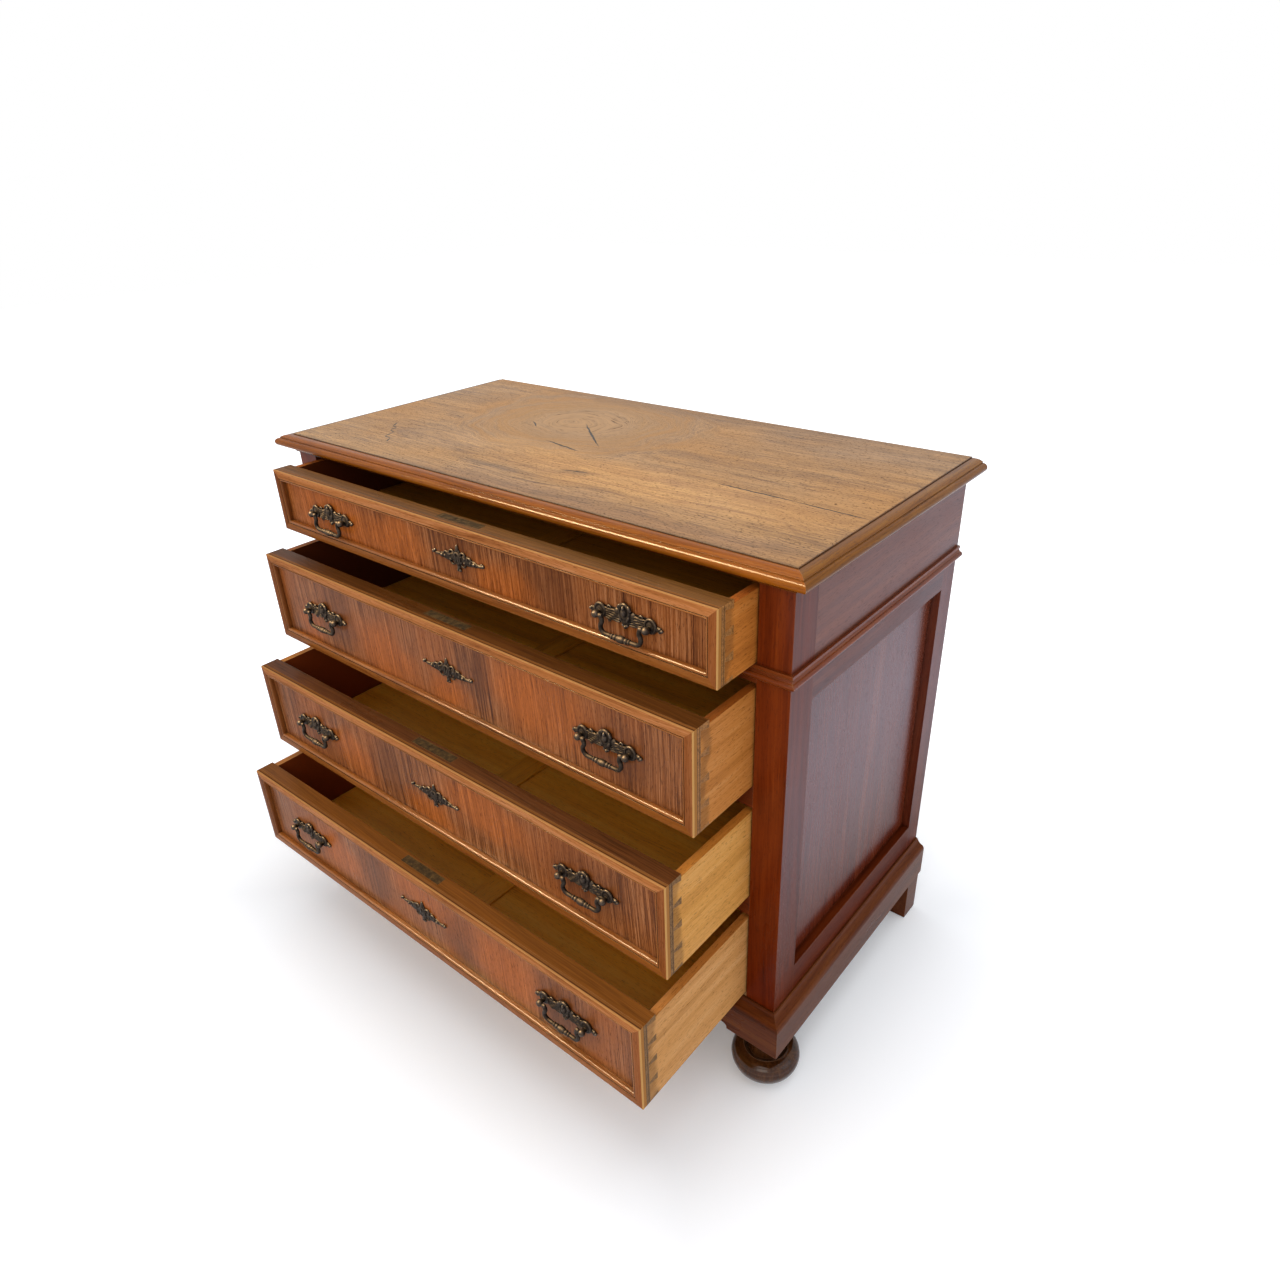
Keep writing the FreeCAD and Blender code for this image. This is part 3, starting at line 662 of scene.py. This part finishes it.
    def strip_edges(self, front_edge, rear_edge, inner_wall_shade, lip, gap, behind):
        """A frame strip's edges: worn at the outer sides, with painted shade on the inner wall of the upright
        strips.
        On top, a pale lip, a dark gap and the wood behind follow one another in depth."""
        side_wall = self.add("Math GREATER_THAN", self.ends, 0.35)
        outer = self.add("MapRange", self.rim, *outer_wear, 1.0, 0.0)
        inner = self.add("MapRange", self.rim, *inner_shade_span, 0.0, 0.55)
        rear = self.add("MapRange", self.deep, *rear_wear, 0.0, 1.0)
        edge = self.add("Mix", rear, front_edge, rear_edge, data_type="RGBA")
        share = self.add("Math MULTIPLY", outer, side_wall)
        self.tint(self.add("Math MULTIPLY", share, 0.8), edge)
        # Painted shade on the inner wall of the upright strips.
        self.tint(self.add("Math MULTIPLY", inner, side_wall), inner_wall_shade)
        upper = self.add("MapRange", self.upward, 0.3, 0.6, 0.0, 0.85)
        depth = self.add("MapRange", self.deep, -strip_rise * MM, 0.0, 0.0, 1.0)
        layers = self.add("ValToRGB", depth, stops=[(0.28, lip), (0.38, gap), (0.52, gap), (0.62, behind)])
        self.tint(self.add("Math MULTIPLY", upper, outer), layers)

    def seam(self, width):
        """The dark joint between the top's field and its moulding, with the painted shadow of the step there.
        """
        past = self.add("Math MAXIMUM", self.past_side, self.past_front)
        past = self.add("Math ABSOLUTE", self.add("Math SUBTRACT", past, field_overlap * MM))
        self.tint(self.add("MapRange", past, 0.3 * width * MM, width * MM, 0.75, 0.0), "#6a4426", "MULTIPLY")

    def rubbed_and_glinting_corners(self, tone):
        """Corners rubbed unevenly paler; on the turned feet the pale ring is a painted highlight."""
        true_normal = self.add("NewGeometry", output="True Normal")
        corner = self.add("VectorMath DOT_PRODUCT", self.eased, true_normal)
        rubbed = self.add("MapRange", corner, 0.995, 0.86, 0.0, 0.75)
        uneven = self.add("MapRange", self.cloud, 0.35, 0.6, 0.25, 1.0)
        self.tint(self.add("Math MULTIPLY", rubbed, uneven), tone)

    def dust_and_corner_shade(self, strength):
        """Painted shade in the inner corners where little light reaches, standing also for old wax and dust.
        """
        open_air = self.add("AmbientOcclusion", Distance=9 * MM, samples=4, output="AO")
        self.tint(self.add("MapRange", open_air, 0.85, 0.35, 0.0, strength), "#3a2415", "MULTIPLY")

    def polished(self, rough, relief):
        """The finish with its surface: duller in clouds and pores, and eased at every edge."""
        dull = self.add("MapRange", self.cloud, 0.3, 0.7, rough * 0.85, rough * 1.2)
        dull = self.add("Math MULTIPLY_ADD", self.pits, 0.25, dull)
        normal = self.add("Bump", Strength=relief, Distance=0.35 * MM, Height=self.height, Normal=self.eased)
        surface = self.add("BsdfPrincipled", Base_Color=self.colour, Roughness=dull, Normal=normal, IOR=1.5,
                            Specular_IOR_Level=self.gloss)
        self.add("OutputMaterial", surface)
        return self.finish


def wood(name, along, tones, warmth=0.5, band=20.0, fibre=2.6, fine=0.36, contrast=1.0,
         waver=(1.6, 5.0, 0.05), seed=0.0, slope=0.0, swirl=None, patches=(), pores=0.5, pore=(11.0, 1.0),
         cracks=(), low_shade_tone=None, edge_tone=None, end_and_side_shade_tone=None, end_lines=(), top_tint=None,
         inside_shade_tint=None, return_shade_tint=None, edge_wear_and_shade=(), seam=0.0, wear_and_glint=None, dust_and_corner_shade=0.5, rough=0.42,
         polish=0.4, relief=0.2):
    """A wood finish from the layers that it has, in the order in which they lie over one another. Its tones
    are the dark, middle and light of the figure and the warm one of the clouds."""
    dark, middle, light, warm = tones.split()
    layers = WoodLayers(name, along, polish)
    layers.shift(seed, slope)
    if swirl:
        layers.swirl(*swirl)
    layers.figure(dark, middle, light, band, fibre, fine, contrast, waver)
    layers.clouds(warm, warmth)
    layers.patches(patches)
    layers.pores(pores, *pore)
    if cracks:
        layers.cracks(cracks)
    # Painted shade towards the floor.
    if low_shade_tone:
        layers.shaded_low_part(low_shade_tone)
    if edge_tone:
        layers.bare_edges(edge_tone)
    if end_and_side_shade_tone:
        layers.left_and_right_faces(end_and_side_shade_tone, end_lines)
    if top_tint:
        layers.tint(layers.add("Math GREATER_THAN", layers.upward, 0.5), top_tint, "MULTIPLY")
    # Painted shade on the inner faces of a drawer's box.
    if inside_shade_tint:
        layers.tint(layers.add("Math LESS_THAN", layers.out_x, side_board_face * MM), inside_shade_tint)
    # Painted shade on the moulding's side returns: darker and cooler than at the front.
    if return_shade_tint:
        layers.tint(layers.turned, return_shade_tint, "MULTIPLY")
    if edge_wear_and_shade:
        layers.strip_band()
        layers.strip_edges(*edge_wear_and_shade)
    if seam:
        layers.seam(seam)
    if wear_and_glint:
        layers.rubbed_and_glinting_corners(wear_and_glint)
    # Painted shade in the inner corners, also standing for old wax and dust.
    if dust_and_corner_shade:
        layers.dust_and_corner_shade(dust_and_corner_shade)
    return layers.polished(rough, relief)


def bronzed_brass():
    """Sand-cast brass under a dark bronze patina: brown-black in the hollows, rubbed to a dull gold-grey
    sheen on balls, reeds and the bail."""
    finish, node = new_finish("bronzed_cast_brass")
    mottle = node("TexNoise", node("TexCoord", output="Object"), Scale=260.0, Detail=4.0)
    raised = node("MapRange", node("NewGeometry", output="Pointiness"), 0.495, 0.56, 0.0, 1.0)
    uneven = node("MapRange", mottle, 0.3, 0.65, 0.35, 1.0)
    rubbed = node("Math MULTIPLY", raised, uneven)
    colour = node("ValToRGB", rubbed, stops=[(0.0, "#1c140e"), (0.4, "#483e36"), (1.0, "#706862")])
    dull = node("MapRange", rubbed, 0.0, 1.0, 0.56, 0.42)
    normal = node("Bump", Strength=0.25, Distance=0.3 * MM, Height=mottle)
    node("OutputMaterial", node("BsdfPrincipled", colour, 0.85, dull, Normal=normal))
    return finish


def lock_iron():
    """Filed wrought iron, browned by a thin rust: dull brown-grey with brighter rubbed flecks."""
    finish, node = new_finish("browned_lock_iron")
    place = node("TexCoord", output="Object")
    rust = node("TexNoise", place, Scale=130.0, Detail=6.0, Roughness=0.65)
    file_marks = stretched_noise(node, place, (60.0, 1500.0, 60.0), 2.0)
    colour = node("ValToRGB", rust, stops=[(0.32, "#1a1006"), (0.5, "#38260f"), (0.68, "#5a4424")])
    dull = node("MapRange", rust, 0.3, 0.7, 0.75, 0.6)
    eased = node("Bevel", 0.5 * MM, samples=4)
    normal = node("Bump", Strength=0.2, Distance=0.2 * MM, Height=file_marks, Normal=eased)
    node("OutputMaterial", node("BsdfPrincipled", colour, 0.1, dull, Specular_IOR_Level=0.1, Normal=normal))
    return finish


def ray_kinds(node):
    """Whether a ray comes from the camera, from a mirror or through glass."""
    return [node("LightPath", output=f"Is {kind} Ray") for kind in ("Camera", "Glossy", "Transmission")]


def studio_floor():
    """Matt white paper. What the camera and mirrors see is lifted to white, and shadows stay, with a weaker
    lift near the chest that paints a shadow round it.
    """
    finish, node = new_finish("white_paper_floor")
    from_camera, glossy, through = ray_kinds(node)
    mirrored = node("Math MAXIMUM", glossy, through)
    x, y = node("SeparateXYZ", node("TexCoord", output="Object"), output=slice(2))
    past_x = node("Math SUBTRACT", node("Math ABSOLUTE", x), shaded_half_width * MM)
    past_y = node("Math SUBTRACT", node("Math ABSOLUTE", y), shaded_half_depth * MM)
    # Painted shadow: the nearer the chest, the less the paper is lifted.
    away = node("Math ADD", node("Math MAXIMUM", past_x, past_y), 0.1)
    lifted = node("ValToRGB", away, stops=[(0.03, 0.12), (0.2, 0.28), (0.4, 0.4), (1.0, 0.8)])
    lifted = node("Math MULTIPLY", lifted, from_camera)
    lifted = node("Math MULTIPLY_ADD", mirrored, 0.15, lifted)
    # Painted reflection: beside the polished right side the paper glows pale blue to mirror rays only, as a
    # bluish window light would.
    painted_blue_reflection = node("MapRange", x, 0.5, 1.5, 0.0, 1.0)
    painted_blue_reflection = node("ValToRGB", painted_blue_reflection, stops=[(0.14, 0.0), (0.34, 0.55), (0.5, 0.42), (0.8, 0.22)])
    painted_blue_reflection = node("Math MULTIPLY", painted_blue_reflection, mirrored)
    lights = [node("Emission", "#ffffff", lifted), node("Emission", "#b4c4ff", painted_blue_reflection)]
    paper = node("BsdfDiffuse", "#ecf1f8")
    node("OutputMaterial", node("AddShader", paper, node("AddShader", *lights)))
    return finish


# Solid and veneered walnut, stained red-brown and French polished: fine upright or lengthwise grain,
# deep colour and a soft gloss.
walnut_plinth = wood(
    "polished_walnut_plinth", "mitred", "#301204 #56270d #6e3c1a #62300f", band=14, seed=7.0, wear_and_glint="#8f5f38",
    dust_and_corner_shade=0.6, rough=0.28, polish=0.08)
# The feet's pale rubbed corners stand in for a painted highlight on the ring.
walnut_foot = wood(
    "turned_walnut_feet", "z", "#221004 #40220e #58361a #4a280e", band=10, seed=8.0, wear_and_glint="#a08268",
    rough=0.12, polish=0.3, relief=0.03)
walnut_frame = wood(
    "polished_walnut_frame_strips", "strip", "#6c340f #a8642c #c27f44 #b46a2c", band=9, fibre=1.8, seed=9.0,
    wear_and_glint="#c08a50", rough=0.16, polish=0.22, relief=0.0,
    # The third edge tone is painted shade on the upright strips' inner walls.
    edge_wear_and_shade=("#d0a060", "#a87438", "#4a2410", "#b8844c", "#2c1608", "#7a4c22"))
# Painted light and shade for the lower, upper, right and left strips, by how each faces the light, as shares
# of red, green and blue, and of polish.
strip_painted_light = [(0.72, 0.68, 0.6, 1.0), (1.14, 1.28, 2.0, 0.3), (0.7, 0.66, 0.9, 0.5), (0.56, 0.48, 0.5, 0.5)]
panel_tones = "#41190f #602a1a #763e28 #682d18"
node_finishes = {
    "plinth": walnut_plinth,
    "rear_feet": walnut_plinth,
    "front_posts": wood(
        "polished_walnut_posts", "z", "#461403 #6e2807 #863a10 #7e3209", band=16, seed=1.0,
        # The posts' left and right faces are darkened with painted shade.
        low_shade_tone="#d8c0a4", end_and_side_shade_tone="#5e2814", wear_and_glint="#9c5a2c", dust_and_corner_shade=0.35, rough=0.3, polish=0.2),
    "side_rails": wood(
        "polished_walnut_rails", "y", "#3c1609 #5a260f #743b1a #6a3012", band=16, seed=2.0,
        low_shade_tone="#f0d2aa", wear_and_glint="#93603a", rough=0.34, polish=0.28),
    "side_panels": wood(
        "polished_walnut_side_panels", "z", panel_tones, band=26, seed=3.0, low_shade_tone="#f4e4d4",
        wear_and_glint="#8a5a3a", rough=0.24, polish=0.45),
    "rear_posts": wood(
        "polished_walnut_rear_posts", "z", panel_tones, band=20, seed=3.5, low_shade_tone="#f4e4d4",
        wear_and_glint="#8a5a3a", rough=0.3, polish=0.26),
    "frieze_sides": wood(
        "polished_walnut_frieze", "y", "#441e0e #663117 #7f4624 #743818", band=24, seed=4.0, wear_and_glint="#93603a",
        rough=0.34),
    "front_rails": wood(
        "polished_walnut_cross_rails", "x", "#3e1607 #66290c #824017 #783410", seed=5.0, wear_and_glint="#93603a",
        rough=0.4, polish=0.2),
    "top_moulding": wood(
        "polished_walnut_top_moulding", "mitred", "#603008 #935010 #ad6a20 #a45a14", band=12, seed=6.0,
        return_shade_tint="#d2e8f4", seam=3.0, wear_and_glint="#b87c40", dust_and_corner_shade=0.35, rough=0.16, polish=0.12, relief=0.04),
    "waist_moulding": wood(
        "polished_walnut_waist_moulding", "mitred", "#441705 #73310f #8c4a1c #823c10", band=10, seed=6.5,
        wear_and_glint="#a06834", rough=0.26, polish=0.25),
}

# The top's veneer has lost its colour to light: tan, with short open pores, a swirl, cracks, stains and a
# painted glow of light across its middle.
zigzag = [(-429, 27), (-418, 8), (-402, 4), (-397, -14), (-378, -20), (-372, -44), (-352, -48), (-339, -66)]
top_cracks = [(start, end, 2.4) for start, end in zip(zigzag, zigzag[1:])]
top_cracks += [((-132, 227), (20, 101), 2.6), ((-112, 99), (4, 74), 3.2), ((-216, 177), (-176, 148), 2.2),
               ((30, -13), (93, 2), 2.4), ((250, 72), (440, 64), 2.6), ((390, 66), (550, 58), 2.1)]
top_stains_and_glow = [
    # Painted glow of light: pale gold across the middle of the top.
    ("#c8955a", 0.55, (200, 10), (420, 90), 0),
    ("#c09056", 0.45, (-150, 30), (280, 70), 10),
    ("#86603e", 0.75, (150, -125), (620, 58), 3),
    ("#7a5a3c", 0.55, (0, 392), (700, 60), 0),
    ("#8a6b4e", 0.4, (380, 330), (300, 110), 0),
    ("#a67c4a", 0.75, (-130, 225), (240, 180), 0),
    ("#6e5238", 0.5, (60, -6), (60, 16), 10),
    ("#6e5238", 0.4, (-100, -60), (110, 14), -8),
]
node_finishes["top_board"] = wood(
    "faded_walnut_top_veneer", "x", "#7c5732 #9e7442 #b68852 #b68146", band=16, fibre=2.2, fine=0.55,
    contrast=2.0, waver=(2.4, 6.0, 0.06), swirl=((-130, 225, 938.5), (270, 210, 1000), 110), pores=0.9,
    pore=(5.0, 1.6), cracks=top_cracks, seam=2.2, wear_and_glint="#b08a60", dust_and_corner_shade=0.0, rough=0.46, polish=0.3,
    patches=[(tone, strength, (*centre, top_height), (*half, 400), (0, 0, turn))
             for tone, strength, centre, half, turn in top_stains_and_glow])

# What differs from drawer to drawer: the depth of the frame's face, the tones of the front's core and ends,
# the places and half sizes, across and up, of golden and smoky veneer, and the tones of the lining, with the
# painted shade on its inner faces.
drawer_looks = {
    1: dict(
        face=-213.75, core="#6c4620", end="#946638", contrast=1.4, polish=0.05,
        golden=[(-330, 850, 190, 90), (-150, 840, 110, 60), (90, 820, 90, 60)],
        smoky=[(0, 850, 70, 80), (200, 850, 90, 80)],
        lining="#8c4e16 #be742e #d08e48 #be742e", top_edge="#e8cca4", inside="#50230a"),
    2: dict(
        face=-263.75, core="#583212", end="#946638", contrast=1.4, polish=0.13,
        golden=[(-169, 650, 110, 70), (0, 632, 70, 50), (200, 690, 150, 80), (-380, 640, 60, 60)],
        smoky=[(-280, 690, 60, 90), (60, 690, 60, 90), (360, 670, 90, 90)],
        lining="#8e5416 #bc7836 #d09656 #bc7836", top_edge="#d2b48c", inside="#50230a"),
    3: dict(
        face=-325.25, core="#5c3418", end="#7c5a34", contrast=1.6, polish=0.07,
        golden=[(-236, 455, 90, 60), (115, 490, 150, 60), (-30, 420, 90, 50)],
        smoky=[(-120, 470, 70, 90), (330, 470, 130, 90)],
        lining="#9e6626 #d09448 #e2ae6a #d09448", top_edge="#e8cca4", inside="#74310e"),
    4: dict(
        face=-386.75, core="#7a481a", end="#7c5a34", contrast=1.05, polish=0.1,
        golden=[(-240, 262, 100, 60), (0, 300, 130, 50), (190, 262, 130, 70)],
        smoky=[(-130, 262, 60, 90), (90, 250, 60, 90), (330, 262, 90, 90)],
        lining="#98642c #c99052 #daa870 #c99052", top_edge="#e8cca4", inside="#74310e"),
}


def veneered_front(number, look):
    """Straight-cut walnut veneer: fine upright dark lines over orange-brown, leaning here and there, with
    clouds of stronger orange and of smoke. The core behind it is plain, with its grain lengthwise."""
    kinds = [("golden", "#b45c14", 0.6, 8), ("smoky", "#5e3012", 0.5, -8)]
    patches = [(tone, strength, (x, 0, z), (half_x, any_depth, half_z), (0, lean, 0))
               for kind, tone, strength, lean in kinds for x, z, half_x, half_z in look[kind]]
    return wood(
        f"walnut_veneer_front_{number}", "front", "#45200c #8e5228 #b3764a #a85a22", band=5, fibre=1.7,
        fine=0.5, contrast=look["contrast"], waver=(2.4, 4.0, 0.022), seed=10.0 + number * 1.7, slope=0.03,
        patches=patches, pores=0.8, edge_tone=look["core"], end_and_side_shade_tone=look["end"],
        end_lines=(look["face"] + 9.3, look["face"] + 14.6), wear_and_glint="#a87444", rough=0.3, polish=look["polish"])


def oak_lining(number, look):
    """Oiled, unpolished oak: honey on its outer faces, with painted shade darkening its inner faces, and
    soiled dovetails.
    """
    soiled = ("#6e4820", 0.5, (side_board_middle, look["face"] + 22, 0), (30, 16, any_depth), (0, 0, 0))
    return wood(
        f"oiled_oak_lining_{number}", "box", look["lining"], warmth=0.3, band=22, contrast=0.75,
        seed=20.0 + number, patches=[soiled], pore=(9.0, 1.4), top_tint=look["top_edge"],
        inside_shade_tint=look["inside"], wear_and_glint="#8a5a28", dust_and_corner_shade=0.6, rough=0.56, polish=0.12)


def oak_bottom(name, tones, seed):
    """Oiled oak boards with broad, faint bands: painted light makes them golden in the lower drawers, painted
    shade browner in the upper ones.
    """
    return wood(name, "bottom", tones, band=30, contrast=0.8, seed=seed, pores=0.4, dust_and_corner_shade=0.4, rough=0.6,
                polish=0.12)


# One oak in lit and shaded copies: painted shade in drawers 1 and 2, painted light in drawers 3 and 4.
shaded_first_bottom = oak_bottom("oiled_oak_first_bottom_in_painted_shade", "#8a5014 #b4741e #c08430 #a86a1a", 21.5)
shaded_second_bottom = oak_bottom("oiled_oak_second_bottom_in_painted_shade", "#b0661a #dc8e26 #e6a03c #d08222", 21.3)
lit_lower_bottoms = oak_bottom("oiled_oak_lower_bottoms_painted_lit", "#b8701a #e89a2c #f0ac44 #dc8c22", 21.0)
bottoms = {1: shaded_first_bottom, 2: shaded_second_bottom, 3: lit_lower_bottoms, 4: lit_lower_bottoms}
# Unpolished pine of the back and the inside: grey-tan with broad pale bands.
pine = wood(
    "aged_pine_boards", "z", "#6d4f30 #94714a #ab8a60 #8a6238", band=34, contrast=0.8, seed=22.0, pores=0.2,
    wear_and_glint="#b89a70", rough=0.66, polish=0.2)
pine_flat = wood(
    "aged_pine_inside", "y", "#5f4428 #866440 #9d7b52 #7c5631", band=34, contrast=0.8, seed=23.0, pores=0.2,
    rough=0.68, polish=0.2)
brass = bronzed_brass()
iron = lock_iron()

for node in ("back_frame", "back_panels", "corner_blocks"):
    node_finishes[node] = pine
for node in ("drawer_runners", "drawer_stops", "floor_board"):
    node_finishes[node] = pine_flat
for number, look in drawer_looks.items():
    drawer_finishes = {"front": veneered_front(number, look), "box": oak_lining(number, look),
                       "bottom": bottoms[number], "lock": iron, "lock_bolt": iron}
    for part, finish in drawer_finishes.items():
        node_finishes[f"drawer_{number}_{part}"] = finish
for node, finish in node_finishes.items():
    nodes[node].material_slots[0].material = finish


# New pieces in their places

def fit_feet():
    feet_low, feet_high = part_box("bun_feet")
    radius = (feet_high.y - feet_low.y) / 2
    x = (feet_high.x - radius) / MM
    y = (feet_high.y - radius) / MM
    right_foot = bun_foot(x, y)
    right_foot.name = "bun_foot_right"
    left_foot = copied(right_foot, "bun_foot_left", Matrix.Translation((-2 * x * MM, 0, 0)))
    for foot in (right_foot, left_foot):
        fitted(foot, "carcass", "walnut", walnut_foot, "bun_feet")


def fit_frame(number, body, strips):
    """The four strips round a drawer front, each with its own stretch of grain and its painted light and
    shade.
    """
    low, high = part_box(body + "_frame")
    middle = (low + high) / 2
    long, tall = round((high.x - low.x) / MM, 3), round((high.z - low.z) / MM, 3)
    for length in (long, tall):
        if length not in strips:
            strips[length] = frame_strip(length)
    placings = [
        (long, Matrix.Translation((0, high.y, low.z))),
        (long, Matrix.Translation((0, high.y, high.z)) @ Matrix.Scale(-1, 4, (0, 0, 1))),
        (tall, Matrix.Translation((high.x, high.y, middle.z)) @ Matrix.Rotation(-math.pi / 2, 4, "Y")),
        (tall, Matrix.Translation((low.x, high.y, middle.z)) @ Matrix.Rotation(math.pi / 2, 4, "Y")),
    ]
    sides = []
    for place, (length, placing) in enumerate(placings):
        strip = copied(strips[length], "strip", placing)
        for value in strip.data.attributes["grain"].data:
            value.vector += Vector((number * 1.9 + place * 0.61, 0, 0))
        # Each strip's painted light and shade, by its place.
        for value in strip.data.attributes.new("shade", "FLOAT_COLOR", "POINT").data:
            value.color = strip_painted_light[place]
        sides.append(strip)
    fitted(joined(sides, body + "_moulded_frame"), body, "walnut", walnut_frame, body + "_frame")


def fit_handles(body, one_plate, one_bail):
    plate_low, plate_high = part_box(body + "_handle_plates")
    handle_z = plate_low.z + plate_fall * MM
    handle_x = plate_high.x - plate_half_width * MM
    for side, sign in (("left", -1), ("right", 1)):
        spot = Vector((sign * handle_x, plate_high.y, handle_z))
        plate = copied(one_plate, f"{body}_cast_plate_{side}", Matrix.Translation(spot))
        fitted(plate, body, "brass", brass, body + "_handle_plates")
        pivot = spot - Vector((0, post_reach * MM, 0))
        hung = copied(one_bail, f"{body}_swan_neck_bail_{side}", Matrix.Translation(pivot))
        fitted(hung, f"{body}_bail_{side}", "brass", brass, f"{body}_bail_{side}")


def fit_key_plate(body, one_escutcheon):
    key_low, key_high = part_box(body + "_escutcheon")
    key_spot = Vector((0, key_high.y, (key_low.z + key_high.z) / 2))
    key_plate = copied(one_escutcheon, body + "_key_plate", Matrix.Translation(key_spot))
    fitted(key_plate, body, "brass", brass, body + "_escutcheon")


def fit_lock_screws(number, body, one_screw):
    """Two screws in the lock's top plate, with their slots turned anyhow."""
    lock_low, lock_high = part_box(body + "_lock")
    screws = []
    for x, turn in ((-screw_offset, 24 * number), (screw_offset, 70 - 31 * number)):
        spot = Matrix.Translation((x * MM, lock_low.y + screw_setback * MM, lock_high.z))
        screws.append(copied(one_screw, "screw", spot @ Matrix.Rotation(math.radians(turn), 4, "Z")))
    fitted(joined(screws, body + "_lock_screws"), body, "iron", iron)


fit_feet()
one_plate, one_bail, one_escutcheon, one_screw = handle_plate(), bail(), escutcheon(), lock_screw()
strips = {}
for number in drawer_looks:
    body = f"drawer_{number}"
    fit_frame(number, body, strips)
    fit_handles(body, one_plate, one_bail)
    fit_key_plate(body, one_escutcheon)
    fit_lock_screws(number, body, one_screw)
for pattern in [one_plate, one_bail, one_escutcheon, one_screw, *strips.values()]:
    bpy.data.objects.remove(pattern)


# Floor, light and camera

floor = begin("plane", size=(12000, 12000, 1))
floor.name = "floor"
floor.data.materials.append(studio_floor())

# The room looks white, and lights a little less than it shows.
world = bpy.data.worlds.new("studio")
scene.world = world
world.use_nodes = True
world.node_tree.nodes.clear()
sky = partial(add, world.node_tree)
from_camera, glossy, through = ray_kinds(sky)
seen = sky("Math MAXIMUM", sky("Math MAXIMUM", from_camera, glossy), through)
sky("OutputWorld", sky("Background", "#ffffff", sky("MapRange", seen, 0.0, 1.0, 0.7, 1.0)))

# Each lamp's place, target, size in metres, power and tint, and whether it lights matt surfaces. The window
# only glints on polish and metal.
lamps = [
    ("ceiling_lamp", (0.0, -0.4, 4.0), (0.0, -0.4, 0.0), (3.0, 3.0), 40.0, "#fff8f0", True),
    ("fill_lamp", (1.2, -1.9, 2.0), (0.0, -0.2, 0.5), (1.2, 1.2), 13.0, "#fff4e6", True),
    ("side_lamp", (2.7, 0.6, 1.8), (0.9, 0.2, 0.0), (1.6, 1.6), 6.3, "#e6edff", True),
    ("window_lamp", (-1.3, -1.35, 2.8), (0.2, -0.25, 0.6), (0.6, 2.0), 430.0, "#ffe0a8", False),
]
for name, place, target, (width, height), power, tint, lights_matt in lamps:
    lamp = bpy.data.lights.new(name, "AREA")
    lamp.shape, lamp.size, lamp.size_y = "RECTANGLE", width, height
    lamp.energy, lamp.color = power, linear(tint)[:3]
    holder = bpy.data.objects.new(name, lamp)
    scene.collection.objects.link(holder)
    holder.location = place
    holder.rotation_euler = (Vector(target) - Vector(place)).to_track_quat("-Z", "Y").to_euler()
    holder.visible_diffuse = lights_matt

# The camera stands and leans as the one that took the photograph, in metres and radians.
camera_eye = Vector((1.02148, -0.99053, 1.37221))
camera_aim = Vector((0.177433, 0.0, 0.672893))
camera_roll = -0.037838
lens = bpy.data.cameras.new("camera")
lens.lens, lens.sensor_width, lens.sensor_fit = 25.4325, 36.0, "HORIZONTAL"
camera = bpy.data.objects.new("camera", lens)
scene.collection.objects.link(camera)
camera.location = camera_eye
camera.rotation_mode = "QUATERNION"
level = (camera_aim - camera_eye).to_track_quat("-Z", "Y")
camera.rotation_quaternion = level @ Quaternion((0, 0, 1), camera_roll)
scene.camera = camera
scene.view_settings.view_transform = "Standard"
